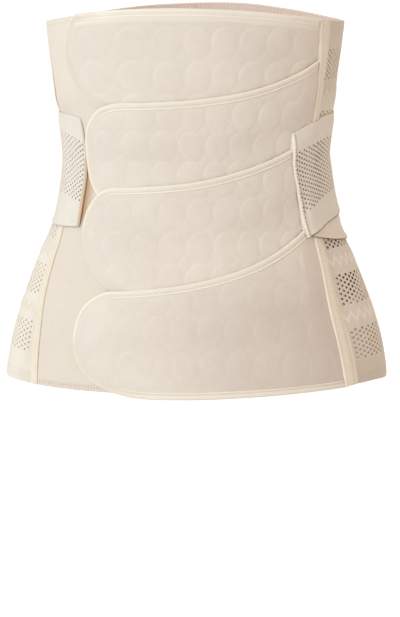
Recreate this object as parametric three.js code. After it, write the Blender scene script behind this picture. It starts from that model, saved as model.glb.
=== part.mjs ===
// Postpartum belly band: a worn hourglass wrap with stacked quilted closing
// belts in front, perforated elastic sides and two perforated waist straps.
// Millimetres, +Z up, -Y is the front, the origin is the middle of the waist.
//
// Every piece is a cloth slab laid on one torso surface. A place on that
// surface is (phi, z): phi is the angle round the body in degrees, 0 at the
// front middle and positive towards +X, and z is the height. A third number,
// the offset, is the distance out from the skin.

import * as THREE from 'three';

// ---- driving sizes ---------------------------------------------------------
const WALL = 2.0;          // front panel and elastic panels
const BELT = 2.0;          // quilted belt
const BIND = 0.5;          // one leg of a folded binding
const BIND_WIDTH = 5.6;    // how far a binding reaches in from the edge
const BIND_GAP = 0.36;     // binding to the cloth it wraps
const TAPE = 1.0;          // seam tapes
const TAPE_HALF = 6.8;     // half width of the right seam tape
const LEFT_TAPE = 13.0;    // width of the left seam tape
const STRAP = 1.6;         // strap mesh
const STRAP_BASE = 1.2;    // plain cloth under the right strap
const STRAP_HEM = 0.7;     // rolled hem laid on the strap's front end
const STRAP_HEM_WIDTH = 4.6;
const BACK_BAND = 2.0;     // centre band at the back
const BACK_BAND_HALF = 14; // half its width
const GAP = 0.35;          // clearance between layers
const SEAM_GAP = 0.4;      // clearance where two panels meet edge to edge
const HEM_Z = -189;        // lower hem of the panels
const TOP_SIDE_Z = 114.3;  // top edge at the sides
const TOP_RISE = 12;       // how much higher it is at front and back
const TOP_TURN = 8;        // degrees that the top edge's crest is turned left
const UNDERLAP_PHI = 40;   // hidden right end of the front panel
const SQUEEZE = 0.5;       // how flat the belts are pressed under the seam tape
const SQUEEZE_FROM = 10;   // degrees before the seam where that starts
const PRESSED_GAP = 0.3;   // clearance left under the pressed belts

const LAYER_1 = WALL + GAP;                                   // belt on panel
const LAYER_2 = LAYER_1 + BELT + BIND_GAP + BIND + GAP;       // belt on belt

// ---- torso sections: ellipses, skin side -----------------------------------
const SECTIONS = [
  { z: -200, halfWidth: 164.4, halfDepth: 115.3, centreY: 8.5 },
  { z: -175, halfWidth: 162.2, halfDepth: 113.8, centreY: 8.5 },
  { z: -150, halfWidth: 157.0, halfDepth: 110.5, centreY: 8.0 },
  { z: -120, halfWidth: 147.4, halfDepth: 104.5, centreY: 7.0 },
  { z: -90, halfWidth: 135.6, halfDepth: 97.5, centreY: 5.0 },
  { z: -60, halfWidth: 122.4, halfDepth: 90.5, centreY: 3.0 },
  { z: -30, halfWidth: 115.3, halfDepth: 86.0, centreY: 1.0 },
  { z: 0, halfWidth: 112.3, halfDepth: 84.0, centreY: 0.0 },
  { z: 30, halfWidth: 115.2, halfDepth: 85.6, centreY: 0.5 },
  { z: 60, halfWidth: 119.2, halfDepth: 88.5, centreY: 2.0 },
  { z: 90, halfWidth: 123.6, halfDepth: 91.4, centreY: 4.0 },
  { z: 115, halfWidth: 126.3, halfDepth: 93.2, centreY: 5.0 },
  { z: 130, halfWidth: 127.6, halfDepth: 94.0, centreY: 5.5 },
];

// ---- seams between front and elastic panels: angle at each height ----------
const SEAMS = [
  { z: -200, left: -54.0, right: 52.4 },
  { z: -150, left: -56.2, right: 51.0 },
  { z: -115, left: -60.0, right: 50.2 },
  { z: -67, left: -64.8, right: 52.4 },
  { z: 0, left: -75.0, right: 55.6 },
  { z: 50, left: -86.0, right: 57.6 },
  { z: 90, left: -92.5, right: 57.0 },
  { z: 130, left: -97.0, right: 55.6 },
];

// ---- upper and lower edges of the belts: height at each angle --------------
const EDGES = [
  { phi: -60, top2: 49.0, top3: -22.0, top4: -109.0, low1: 42.0, low2: -40.0, low3: -108.0, low4: -189.0 },
  { phi: -40, top2: 49.5, top3: -21.5, top4: -108.5, low1: 42.0, low2: -40.0, low3: -108.0, low4: -189.6 },
  { phi: -20, top2: 50.5, top3: -19.3, top4: -105.0, low1: 42.0, low2: -36.0, low3: -108.5, low4: -191.6 },
  { phi: 0, top2: 53.4, top3: -14.8, top4: -97.9, low1: 42.5, low2: -30.0, low3: -108.0, low4: -191.8 },
  { phi: 20, top2: 59.7, top3: -5.3, top4: -84.7, low1: 46.0, low2: -20.0, low3: -98.7, low4: -190.4 },
  { phi: 40, top2: 72.0, top3: 9.0, top4: -64.5, low1: 58.0, low2: -5.0, low3: -78.5, low4: -189.2 },
  { phi: 60, top2: 90.0, top3: 28.0, top4: -40.0, low1: 76.0, low2: 14.0, low3: -54.0, low4: -189.0 },
];

// ---- belts: free left end and the shape of its two corners ------------------
const BELTS = [
  { name: 'belt_1', left: -57.7, topSpan: 8, topDrop: 36, topPower: 1.5, lowSpan: 19, lowRise: 42, lowPower: 1.5 },
  { name: 'belt_2', left: -50.5, topSpan: 22.5, topDrop: 36, topPower: 2, lowSpan: 22.5, lowRise: 43, lowPower: 1.55 },
  { name: 'belt_3', left: -48.4, topSpan: 17, topDrop: 29, topPower: 2, lowSpan: 24.4, lowRise: 54, lowPower: 1.5 },
  { name: 'belt_4', left: -40.2, topSpan: 13.2, topDrop: 28, topPower: 2, lowSpan: 26, lowRise: 47, lowPower: 2 },
];
const PANEL_ROWS = [-189, -165, -140, -115, -92, -74, -60, -48, -36, -24, -12, 0, 12, 24, 38, 54, 74, 96]; // heights, then the top edge

const BELT_CORNER_STEPS = [0, 0.04, 0.15, 0.32, 0.53, 0.76];   // of the wider corner
const BELT_STEP = 7;                                           // degrees between columns
const BELT_ROWS = [0.2, 0.36, 0.68, 0.84];                     // between the two edges
const EDGE_ROW = 6.2;                                          // mm, rows beside the bound edges
const BELT_RAMP = [0.36, 0.68];                                // low layer to high layer

// ---- waist straps: edges and lift at each angle -----------------------------
const RIGHT_STRAP = [
  { phi: 41, top: 23.6, low: -64.0 },
  { phi: 47, top: 27.6, low: -64.2 },
  { phi: 52, top: 30.8, low: -60.4 },
  { phi: 58, top: 34.0, low: -55.6 },
  { phi: 63, top: 35.8, low: -52.6 },
  { phi: 70, top: 37.0, low: -49.6 },
  { phi: 90, top: 38.0, low: -46.0 },
  { phi: 112, top: 38.0, low: -45.0 },
  { phi: 172.4, top: 38.0, low: -45.0 },
];
const RIGHT_BASE = [
  { phi: 48, top: 26.0, low: -63.8 },
  { phi: 54, top: 28.4, low: -65.2 },
  { phi: 64, top: 32.0, low: -67.4 },
  { phi: 80, top: 34.0, low: -70.6 },
  { phi: 96, top: 34.0, low: -67.0 },
  { phi: 108, top: 34.0, low: -40.0 },
];
// How far out the right strap and its base lie, by degrees past the right seam:
// over the belts, down across the seam tape, then on the elastic panel.
const RIGHT_LIFT = [
  { phi: -16, strap: 8.9, base: 8.9 },
  { phi: -8.5, strap: 9.5, base: 8.9 },
  { phi: -5.5, strap: 10.5, base: 8.9 },
  { phi: -4, strap: 10.5, base: 8.9 },
  { phi: 2, strap: 9.1, base: 7.5 },
  { phi: 4.6, strap: 6.0, base: 4.4 },
  { phi: 7.2, strap: 4.3, base: 2.7 },
  { phi: 61, strap: 4.3, base: 2.7 },
  { phi: 73, strap: 2.7, base: 2.7 },
  { phi: 130, strap: 2.7, base: 2.7 },
];
const RIGHT_FRONT_PHI = 42.5;       // front edge of the right strap at z = 0
const RIGHT_FRONT_LEAN = -0.0511;   // degrees it leans for each mm of height
const LEFT_STRAP = [
  { phi: -51.7, top: 34.3, low: -56.0, lift: 2.7 },
  { phi: -55, top: 35.4, low: -56.7, lift: 2.7 },
  { phi: -58, top: 36.4, low: -57.2, lift: 2.9 },
  { phi: -62, top: 37.2, low: -57.6, lift: 4.0 },
  { phi: -70, top: 37.8, low: -58.4, lift: 4.0 },
  { phi: -94, top: 38.0, low: -58.0, lift: 4.0 },
  { phi: -103, top: 38.0, low: -56.5, lift: 2.7 },
  { phi: -120, top: 38.0, low: -53.0, lift: 2.7 },
  { phi: -150, top: 38.0, low: -47.0, lift: 2.7 },
  { phi: -172.4, top: 38.0, low: -45.0, lift: 2.7 },
];
const STRAP_STEP = 7;
const LEFT_STRAP_LIFT = 2.0;        // the lower front corner stands off the panel
const LEFT_STRAP_LIFT_SPAN = 7;     // degrees over which it comes down

// ---- small mathematics ------------------------------------------------------
const RAD = Math.PI / 180;
const lerp = (a, b, t) => a + (b - a) * t;
const clamp01 = (t) => Math.min(1, Math.max(0, t));
const smooth = (t) => { const k = clamp01(t); return k * k * (3 - 2 * k); };
const range = (n) => Array.from({ length: n }, (_, i) => i);

// Smooth curve through one column of a table, with slopes from the neighbours.
function curve(table, key, column) {
  const x = table.map((row) => row[key]);
  const y = table.map((row) => row[column]);
  const n = x.length;
  const slope = range(n).map((i) => {
    const a = Math.max(0, i - 1), b = Math.min(n - 1, i + 1);
    return (y[b] - y[a]) / (x[b] - x[a]);
  });
  return (at) => {
    let i = 0;
    while (i < n - 2 && at > x[i + 1]) i += 1;
    const h = x[i + 1] - x[i];
    const t = Math.min(1.2, Math.max(-0.2, (at - x[i]) / h));
    const t2 = t * t, t3 = t2 * t;
    return y[i] * (2 * t3 - 3 * t2 + 1) + slope[i] * h * (t3 - 2 * t2 + t)
      + y[i + 1] * (3 * t2 - 2 * t3) + slope[i + 1] * h * (t3 - t2);
  };
}

// Straight lines through one column of a table whose angles may fall.
function steps(table, column) {
  return (phi) => {
    const rising = table[table.length - 1].phi > table[0].phi ? 1 : -1;
    let i = 0;
    while (i < table.length - 2 && (phi - table[i + 1].phi) * rising > 0) i += 1;
    const t = clamp01((phi - table[i].phi) / (table[i + 1].phi - table[i].phi));
    return lerp(table[i][column], table[i + 1][column], t);
  };
}

// ---- torso surface ----------------------------------------------------------
const halfWidth = curve(SECTIONS, 'z', 'halfWidth');
const halfDepth = curve(SECTIONS, 'z', 'halfDepth');
const centreY = curve(SECTIONS, 'z', 'centreY');
const leftSeam = curve(SEAMS, 'z', 'left');
const rightSeam = curve(SEAMS, 'z', 'right');

function onBody(phi, z, offset) {
  const s = Math.sin(phi * RAD), c = Math.cos(phi * RAD), h = 0.5;
  const a = halfWidth(z), b = halfDepth(z);
  const da = (halfWidth(z + h) - halfWidth(z - h)) / (2 * h);
  const db = (halfDepth(z + h) - halfDepth(z - h)) / (2 * h);
  const dc = (centreY(z + h) - centreY(z - h)) / (2 * h);
  const round = new THREE.Vector3(a * c, b * s, 0);
  const up = new THREE.Vector3(da * s, dc - db * c, 1);
  const normal = round.cross(up).normalize();
  return new THREE.Vector3(a * s, centreY(z) - b * c, z).addScaledVector(normal, offset);
}
const mmPerDegree = (phi, z) => RAD
  * Math.hypot(halfWidth(z) * Math.cos(phi * RAD), halfDepth(z) * Math.sin(phi * RAD));
const topEdge = (phi) => TOP_SIDE_Z + TOP_RISE * Math.cos((phi + TOP_TURN) * RAD) ** 2;

// ---- closed slab between two grids of points --------------------------------
function slab(name, inner, outer, material) {
  const n = inner.length, m = inner[0].length;
  const points = [...inner.flat(), ...outer.flat()];
  const inAt = (i, j) => i * m + j;
  const outAt = (i, j) => n * m + i * m + j;
  const faces = [];
  const quad = (a, b, c, d) => { faces.push(a, b, c, a, c, d); };
  for (let i = 0; i < n - 1; i += 1) {
    for (let j = 0; j < m - 1; j += 1) {
      quad(outAt(i, j), outAt(i + 1, j), outAt(i + 1, j + 1), outAt(i, j + 1));
      quad(inAt(i, j + 1), inAt(i + 1, j + 1), inAt(i + 1, j), inAt(i, j));
    }
  }
  for (let i = 0; i < n - 1; i += 1) {
    quad(outAt(i + 1, 0), outAt(i, 0), inAt(i, 0), inAt(i + 1, 0));
    quad(outAt(i, m - 1), outAt(i + 1, m - 1), inAt(i + 1, m - 1), inAt(i, m - 1));
  }
  for (let j = 0; j < m - 1; j += 1) {
    quad(outAt(0, j), outAt(0, j + 1), inAt(0, j + 1), inAt(0, j));
    quad(outAt(n - 1, j + 1), outAt(n - 1, j), inAt(n - 1, j), inAt(n - 1, j + 1));
  }
  let volume = 0;
  for (let f = 0; f < faces.length; f += 3) {
    const [a, b, c] = [points[faces[f]], points[faces[f + 1]], points[faces[f + 2]]];
    volume += a.dot(new THREE.Vector3().crossVectors(b, c));
  }
  if (volume < 0) faces.reverse();
  const geometry = new THREE.BufferGeometry();
  geometry.setAttribute('position',
    new THREE.Float32BufferAttribute(points.flatMap((p) => [p.x, p.y, p.z]), 3));
  geometry.setIndex(faces);
  geometry.computeVertexNormals();
  const mesh = new THREE.Mesh(geometry, material);
  mesh.name = name;
  return mesh;
}

// Slab whose grid places are given as (phi, z) and whose two offsets follow.
function cloth(name, places, inside, thickness, material) {
  const inner = places.map((row) => row.map(([p, z]) => onBody(p, z, inside(p, z))));
  const outer = places.map((row) => row.map(([p, z]) => onBody(p, z, inside(p, z) + thickness)));
  return slab(name, inner, outer, material);
}

// ---- panels -----------------------------------------------------------------
function panel(name, fromPhi, toPhi, columns, material) {
  const places = range(columns + 1).map((i) => {
    const s = i / columns;
    const top = topEdge(lerp(fromPhi(120), toPhi(120), s));
    return [...PANEL_ROWS, top].map((z) => [lerp(fromPhi(z), toPhi(z), s), z]);
  });
  return cloth(name, places, () => 0, WALL, material);
}
const degrees = (mm, phi, z) => mm / mmPerDegree(phi, z);

// ---- belts ------------------------------------------------------------------
const bulge = (t, power) => (1 - clamp01(t) ** power) ** (1 / power);

function beltEdges(belt, index) {
  const top = index === 0 ? (phi) => topEdge(phi) + 0.6 : curve(EDGES, 'phi', `top${index + 1}`);
  const low = curve(EDGES, 'phi', `low${index + 1}`);
  return {
    top,
    low,
    roundTop: (phi) => {
      const from = belt.left + belt.topSpan;
      const flat = top(from);
      if (phi >= from) return top(phi);
      return flat - belt.topDrop * (1 - bulge((from - phi) / belt.topSpan, belt.topPower));
    },
    roundLow: (phi) => {
      const from = belt.left + belt.lowSpan;
      const flat = low(from);
      if (phi >= from) return low(phi);
      return flat + belt.lowRise * (1 - bulge((from - phi) / belt.lowSpan, belt.lowPower));
    },
  };
}

function beltColumns(belt) {
  const wide = Math.max(belt.topSpan, belt.lowSpan);
  const list = BELT_CORNER_STEPS.map((t) => belt.left + wide * t);
  const start = belt.left + wide;
  const count = Math.round((44 - start) / BELT_STEP);
  range(count + 1).forEach((i) => list.push(lerp(start, 44, i / count)));
  return list;
}

const squeeze = (phi, z) => {
  const seam = rightSeam(z);
  return lerp(1, SQUEEZE, clamp01((phi - seam + SQUEEZE_FROM) / (SQUEEZE_FROM + 1.5)));
};

function beltOffset(index, edges) {
  return (phi, z) => {
    const t = (z - edges.low(phi)) / (edges.top(phi) - edges.low(phi));
    const ramp = clamp01((t - BELT_RAMP[0]) / (BELT_RAMP[1] - BELT_RAMP[0]));
    const base = index === 0 ? LAYER_1 : lerp(LAYER_1, LAYER_2, ramp);
    return WALL + PRESSED_GAP + (base - WALL - PRESSED_GAP) * squeeze(phi, z);
  };
}

function beltPlaces(belt, edges, boundHem) {
  const rows = (phi) => {
    const low = edges.roundLow(phi), top = edges.roundTop(phi), strip = EDGE_ROW / (top - low);
    const list = [0, ...(boundHem ? [Math.min(0.08, strip)] : []), ...BELT_ROWS, Math.max(0.92, 1 - strip), 1];
    return list.map((t) => lerp(low, top, t));
  };
  const places = beltColumns(belt).map((phi) => rows(phi).map((z) => [phi, z]));
  [0.33, 0.67, 1].forEach((s) => {
    places.push(rows(50).map((z, j) => {
      const phi = lerp(44, rightSeam(z) + 1.5, s);
      return [phi, rows(phi)[j]];
    }));
  });
  return places;
}

function beltThickness(phi, z) {
  return BELT * squeeze(phi, z);
}

function beltMesh(belt, index, material) {
  const edges = beltEdges(belt, index);
  const offset = beltOffset(index, edges);
  const places = beltPlaces(belt, edges, index === BELTS.length - 1);
  const inner = places.map((row) => row.map(([p, z]) => onBody(p, z, offset(p, z))));
  const outer = places.map((row) => row.map(([p, z]) => onBody(p, z, offset(p, z) + beltThickness(p, z))));
  return slab(belt.name, inner, outer, material);
}

// Folded binding: one leg on the belt's face and a lip over its edge, along the
// upper edge, round the free end and, on the lowest belt, back along the hem.
function bindingMesh(belt, index, material) {
  const edges = beltEdges(belt, index);
  const offset = beltOffset(index, edges);
  const places = beltPlaces(belt, edges, index === BELTS.length - 1).slice(0, -1);   // ends under the seam tape
  const upper = places.map((row) => row[row.length - 1]).reverse();
  const lowerAll = places.map((row) => row[0]);
  const corner = belt.left + belt.lowSpan + 0.01;
  const lower = index === BELTS.length - 1 ? lowerAll : lowerAll.filter(([phi]) => phi <= corner);
  const path = [...upper, ...lower];
  const flat = path.map(([p, z]) => [p, z, mmPerDegree(p, z)]);
  const inner = [], outer = [];
  flat.forEach(([phi, z, scale], i) => {
    const a = flat[Math.max(0, i - 1)], b = flat[Math.min(flat.length - 1, i + 1)];
    const before = new THREE.Vector2((phi - a[0]) * scale, z - a[1]);
    const after = new THREE.Vector2((b[0] - phi) * scale, b[1] - z);
    const along = before.clone().normalize().add(after.clone().normalize()).normalize();
    const inward = new THREE.Vector2(-along.y, along.x);
    const at = (s, legs) => {
      const p = phi + (inward.x * s) / scale, h = z + inward.y * s;
      const on = s > 0 ? [p, h] : [phi, z];
      const edge = offset(...on), thick = beltThickness(...on), k = squeeze(...on);
      return onBody(p, h, legs === null ? edge + 0.1 : edge + thick + legs * k);
    };
    inner.push([at(BIND_WIDTH, BIND_GAP), at(-BIND_GAP, BIND_GAP), at(-BIND_GAP, null)]);
    outer.push([at(BIND_WIDTH, BIND_GAP + BIND), at(-BIND_GAP - BIND, BIND_GAP + BIND), at(-BIND_GAP - BIND, null)]);
  });
  return slab(`${belt.name}_binding`, inner, outer, material);
}

// ---- straps -----------------------------------------------------------------
// A strap is a list of columns from its front end to the back. A column is an
// angle for each height, because the front edge and the seam both lean.
function strapGrid(table, columns, rows, offset) {
  const top = steps(table, 'top'), low = steps(table, 'low');
  return columns.map((column) => range(rows + 1).map((j) => {
    let z = 0;
    range(4).forEach(() => { z = lerp(low(column(z)), top(column(z)), j / rows); });
    return onBody(column(z), z, offset(column(z), z));
  }));
}

function strapMesh(name, table, columns, rows, thickness, lift, material) {
  const inner = strapGrid(table, columns, rows, lift);
  const outer = strapGrid(table, columns, rows, (phi, z) => lift(phi, z) + thickness);
  return slab(name, inner, outer, material);
}

const evenColumns = (from, to) => {
  const count = Math.ceil(Math.abs(to - from) / STRAP_STEP);
  return range(count + 1).map((i) => () => lerp(from, to, i / count));
};
const pastSeam = (angle) => (z) => rightSeam(z) + angle;
const rightFront = (z) => RIGHT_FRONT_PHI + RIGHT_FRONT_LEAN * z;
const rightLift = (column) => {
  const lift = steps(RIGHT_LIFT, column);
  return (phi, z) => lift(phi - rightSeam(z));
};
const seamColumns = [-4, 2, 4.6, 7.2].map(pastSeam);
const rightStrapColumns = [
  ...[0, 0.33, 0.67].map((t) => (z) => lerp(rightFront(z), pastSeam(-4)(z), t)),
  ...seamColumns, ...evenColumns(69, 172.4)];
const rightBaseColumns = [...seamColumns, ...evenColumns(69, 108)];
const leftStrapColumns = LEFT_STRAP.slice(0, -1).flatMap((row, i) => {
  const list = evenColumns(row.phi, LEFT_STRAP[i + 1].phi);
  return i === LEFT_STRAP.length - 2 ? list : list.slice(0, -1);
});
const leftBase = steps(LEFT_STRAP, 'lift');
const leftLift = (phi, z) => leftBase(phi) + LEFT_STRAP_LIFT * smooth((10 - z) / 60)
  * smooth(1 - (LEFT_STRAP[0].phi - phi) / LEFT_STRAP_LIFT_SPAN);

// Rolled hem: a strip on the face of the strap along its front edge.
function strapHemMesh(name, table, front, toward, lift, material) {
  const columns = [0, 1].map((s) => (z) => front(z) + s * toward * degrees(STRAP_HEM_WIDTH, front(z), z));
  return strapMesh(name, table, columns, 8, STRAP_HEM, (phi, z) => lift(phi, z) + STRAP + GAP, material);
}

// ---- seam tapes and back band ------------------------------------------------
function rightTapeMesh(material) {
  const base = WALL + PRESSED_GAP;
  const over = LAYER_2 + BELT + BIND_GAP + BIND - base;
  const legs = [
    { along: -TAPE_HALF, lift: base + over * lerp(1, SQUEEZE, 0.5) + 2 * GAP },
    { along: 3.2, lift: base + over * SQUEEZE + 2 * GAP },
    { along: TAPE_HALF, lift: WALL + GAP + 0.1 },
  ];
  const grid = (side) => legs.map(({ along, lift }) => [...PANEL_ROWS, topEdge(56)].map((z) => {
    const seam = rightSeam(z);
    return onBody(seam + degrees(along, seam, z), z, lift + side * TAPE);
  }));
  return slab('right_seam_tape', grid(0), grid(1), material);
}

function leftTapeMesh(material) {
  const grid = (side) => [-LEFT_TAPE, -LEFT_TAPE / 2, 0.8].map((along) => [...PANEL_ROWS, topEdge(-94)].map((z) => {
    const seam = leftSeam(z);
    return onBody(seam + degrees(along, seam, z), z, WALL + GAP + side * TAPE);
  }));
  return slab('left_seam_tape', grid(0), grid(1), material);
}

function backBandMesh(material) {
  const grid = (side) => [-1, -0.33, 0.33, 1].map((s) => [...PANEL_ROWS, topEdge(180) - 0.6].map((z) => {
    return onBody(180 + s * degrees(BACK_BAND_HALF, 180, z), z, WALL + GAP + side * BACK_BAND);
  }));
  return slab('back_centre_band', grid(0), grid(1), material);
}

// ---- materials ----------------------------------------------------------------
const clothColour = (colour, roughness) => new THREE.MeshStandardMaterial({ color: colour, roughness, metalness: 0 });
const panelCloth = clothColour(0xe9dccd, 0.9);
const elasticCloth = clothColour(0xdccbb9, 0.92);
const beltCloth = clothColour(0xe6d8cb, 0.88);
const bindingCloth = clothColour(0xefe3d5, 0.8);
const strapCloth = clothColour(0xe4d6c6, 0.9);
const tapeCloth = clothColour(0xe3d3c2, 0.85);

// ---- assembly -------------------------------------------------------------------
const band = new THREE.Group();

band.add(panel('left_front_panel',
  (z) => leftSeam(z) + degrees(SEAM_GAP / 2, leftSeam(z), z), () => UNDERLAP_PHI, 14, panelCloth));
band.add(panel('right_elastic_panel',
  (z) => rightSeam(z), (z) => 180 - degrees(SEAM_GAP / 2, 180, z), 14, elasticCloth));
band.add(panel('left_elastic_panel',
  (z) => -180 + degrees(SEAM_GAP / 2, 180, z), (z) => leftSeam(z) - degrees(SEAM_GAP / 2, leftSeam(z), z), 13, elasticCloth));
band.add(backBandMesh(tapeCloth));
band.add(rightTapeMesh(tapeCloth));
band.add(leftTapeMesh(tapeCloth));

BELTS.forEach((belt, index) => {
  band.add(beltMesh(belt, index, beltCloth));
  band.add(bindingMesh(belt, index, bindingCloth));
});

band.add(strapMesh('right_strap_base', RIGHT_BASE, rightBaseColumns, 7, STRAP_BASE, rightLift('base'), strapCloth));
band.add(strapMesh('right_strap', RIGHT_STRAP, rightStrapColumns, 7, STRAP, rightLift('strap'), strapCloth));
band.add(strapHemMesh('right_strap_hem', RIGHT_STRAP, rightFront, 1, rightLift('strap'), bindingCloth));
band.add(strapMesh('left_strap', LEFT_STRAP, leftStrapColumns, 7, STRAP, leftLift, strapCloth));
band.add(strapHemMesh('left_strap_hem', LEFT_STRAP, () => LEFT_STRAP[0].phi, -1, leftLift, bindingCloth));

export default band;
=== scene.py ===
import math

import bmesh
import bpy
import numpy as np
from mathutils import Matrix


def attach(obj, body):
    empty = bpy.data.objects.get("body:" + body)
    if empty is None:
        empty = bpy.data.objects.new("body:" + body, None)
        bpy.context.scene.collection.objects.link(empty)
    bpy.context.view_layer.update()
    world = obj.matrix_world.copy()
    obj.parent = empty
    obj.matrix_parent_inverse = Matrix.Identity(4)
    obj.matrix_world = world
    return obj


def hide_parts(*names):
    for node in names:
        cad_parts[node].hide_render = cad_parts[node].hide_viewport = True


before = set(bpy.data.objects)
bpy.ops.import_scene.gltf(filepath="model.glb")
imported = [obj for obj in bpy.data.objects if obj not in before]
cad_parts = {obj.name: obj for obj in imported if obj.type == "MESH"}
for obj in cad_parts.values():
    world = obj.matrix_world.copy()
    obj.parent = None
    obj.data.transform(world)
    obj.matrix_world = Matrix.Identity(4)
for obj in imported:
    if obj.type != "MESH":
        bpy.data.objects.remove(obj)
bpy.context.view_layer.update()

# Everything below is laid on the same torso surface as the solids. A place on it
# is (phi, z): phi is the angle round the body in degrees, 0 at the front middle
# and positive towards +X, z is the height in millimetres, and the offset is the
# distance out from the skin. Metres come in only when a mesh is made.
RAD = math.pi / 180
rng = np.random.default_rng(11)

# ---- camera -------------------------------------------------------------------
cam = bpy.data.objects.new("camera", bpy.data.cameras.new("camera"))
bpy.context.scene.collection.objects.link(cam)
cam.location = (0.00344, -2.0, 0.184)
cam.rotation_euler = (math.radians(90 - 9.017), 0, 0)
cam.data.lens = 136.27
cam.data.sensor_width = 36
cam.data.clip_end = 200
bpy.context.scene.camera = cam

# ---- sizes, as in the solids -----------------------------------------------------
WALL, BELT, GAP = 2.0, 2.0, 0.35
BIND, BIND_GAP, BIND_WIDTH = 0.5, 0.36, 5.6
PRESSED_GAP, SQUEEZE, SQUEEZE_FROM = 0.3, 0.34, 11.0
LAYER_1 = WALL + GAP
LAYER_2 = LAYER_1 + BELT + BIND_GAP + BIND + GAP
HEM_Z = -189.0

SECTIONS = np.array([
    (-200, 164.4, 115.3, 8.5), (-175, 162.2, 113.8, 8.5), (-150, 157.0, 110.5, 8.0),
    (-120, 147.4, 104.5, 7.0), (-90, 135.6, 97.5, 5.0), (-60, 122.4, 90.5, 3.0),
    (-30, 115.3, 86.0, 1.0), (0, 112.3, 84.0, 0.0), (30, 115.2, 85.6, 0.5),
    (60, 119.2, 88.5, 2.0), (90, 123.6, 91.4, 4.0), (115, 126.3, 93.2, 5.0),
    (130, 127.6, 94.0, 5.5)], float)
SEAMS = np.array([
    (-200, -54.0, 52.4), (-150, -56.2, 51.0), (-115, -60.0, 50.2), (-67, -64.8, 52.4),
    (0, -75.0, 55.6), (50, -86.0, 57.6), (90, -92.5, 57.0), (130, -97.0, 55.6)], float)
EDGES = np.array([  # phi, top2, top3, top4, low1, low2, low3, low4
    (-60, 49.0, -22.0, -109.0, 42.0, -40.0, -108.0, -189.0),
    (-40, 49.5, -21.5, -108.5, 42.0, -40.0, -108.0, -190.4),
    (-20, 50.5, -19.3, -105.0, 42.0, -36.0, -108.5, -192.0),
    (0, 53.4, -14.8, -97.9, 42.5, -30.0, -108.0, -191.8),
    (20, 59.7, -5.3, -84.7, 46.0, -20.0, -98.7, -190.4),
    (40, 72.0, 9.0, -64.5, 58.0, -5.0, -78.5, -189.2),
    (60, 90.0, 28.0, -40.0, 76.0, 14.0, -54.0, -189.0)], float)
BELTS = [  # free end, then span, drop and power of its upper and lower corner
    (-60.7, 10.0, 34.0, 1.4, 25.0, 44.0, 1.65),
    (-52.3, 24.3, 36.0, 2.0, 24.3, 43.0, 2.1),
    (-49.9, 18.5, 29.0, 2.0, 25.9, 54.0, 1.5),
    (-40.2, 13.2, 28.0, 2.0, 26.0, 47.0, 2.0)]
RIGHT_STRAP = np.array([
    (41, 23.6, -67.6), (47, 27.6, -64.4), (52, 30.8, -60.8), (58, 34.0, -56.6),
    (63, 35.8, -54.3), (70, 37.0, -52.3), (90, 38.0, -47.8), (112, 38.0, -45.4),
    (172.4, 38.0, -45.0)], float)
RIGHT_BASE = np.array([
    (48, 26.0, -64.6), (54, 28.4, -67.2), (64, 32.0, -69.4), (80, 34.0, -72.2),
    (96, 34.0, -72.6), (108, 34.0, -66.0)], float)
LEFT_STRAP = np.array([  # from the back to the front end
    (-172.4, 38.0, -45.0), (-150, 38.0, -47.0), (-120, 38.0, -53.0), (-103, 38.0, -56.5), (-94, 38.0, -58.0),
    (-70, 37.8, -58.4), (-62, 37.2, -57.6), (-58, 36.4, -57.2), (-55, 35.4, -56.7), (-51.7, 34.3, -56.0)], float)
TAPE_EDGES = np.array([  # z, left and right edge of the right seam tape, millimetres from the seam
    (-200, -7.6, 9.8), (-160, -7.5, 9.6), (-110, -6.6, 7.0), (-70, -5.5, 4.9), (-20, -4.5, 5.0), (40, -3.7, 6.2),
    (85, -6.8, 8.8), (130, -6.4, 9.4)], float)


# ---- small mathematics -----------------------------------------------------------
def lerp(a, b, t):
    return a + (b - a) * t


def smooth(t):
    k = np.clip(t, 0, 1)
    return k * k * (3 - 2 * k)


def curve(x, y):
    """Smooth curve through a table, with slopes from the neighbours."""
    x, y = np.asarray(x, float), np.asarray(y, float)
    n = len(x)
    a, b = np.maximum(np.arange(n) - 1, 0), np.minimum(np.arange(n) + 1, n - 1)
    slope = (y[b] - y[a]) / (x[b] - x[a])

    def at(v):
        v = np.asarray(v, float)
        i = np.searchsorted(x[1:-1], v, side="left")
        h = x[i + 1] - x[i]
        t = np.clip((v - x[i]) / h, -0.2, 1.2)
        t2, t3 = t * t, t * t * t
        return (y[i] * (2 * t3 - 3 * t2 + 1) + slope[i] * h * (t3 - 2 * t2 + t)
                + y[i + 1] * (3 * t2 - 2 * t3) + slope[i + 1] * h * (t3 - t2))
    return at


def lines(table, column):
    return lambda v: np.interp(v, table[:, 0], table[:, column])


def blur(values, sigma):
    """Gaussian blur along the last axis, with the ends carried on straight."""
    n = max(1, int(sigma * 3))
    k = np.exp(-0.5 * (np.arange(-n, n + 1) / sigma) ** 2)
    pad = [(0, 0)] * (values.ndim - 1) + [(n, n)]
    wide = np.pad(values, pad, mode="reflect", reflect_type="odd")
    return np.apply_along_axis(lambda r: np.convolve(r, k / k.sum(), "valid"), -1, wide)


def table_value(table, phi, z, across, up):
    """Value between the points of an even table over angle and height."""
    a = np.clip((phi - across[0]) / (across[1] - across[0]), 0, len(across) - 1.001)
    b = np.clip((z - up[0]) / (up[1] - up[0]), 0, len(up) - 1.001)
    i, j = a.astype(int), b.astype(int)
    s, t = a - i, b - j
    return ((table[i, j] * (1 - s) + table[i + 1, j] * s) * (1 - t)
            + (table[i, j + 1] * (1 - s) + table[i + 1, j + 1] * s) * t)


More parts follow.
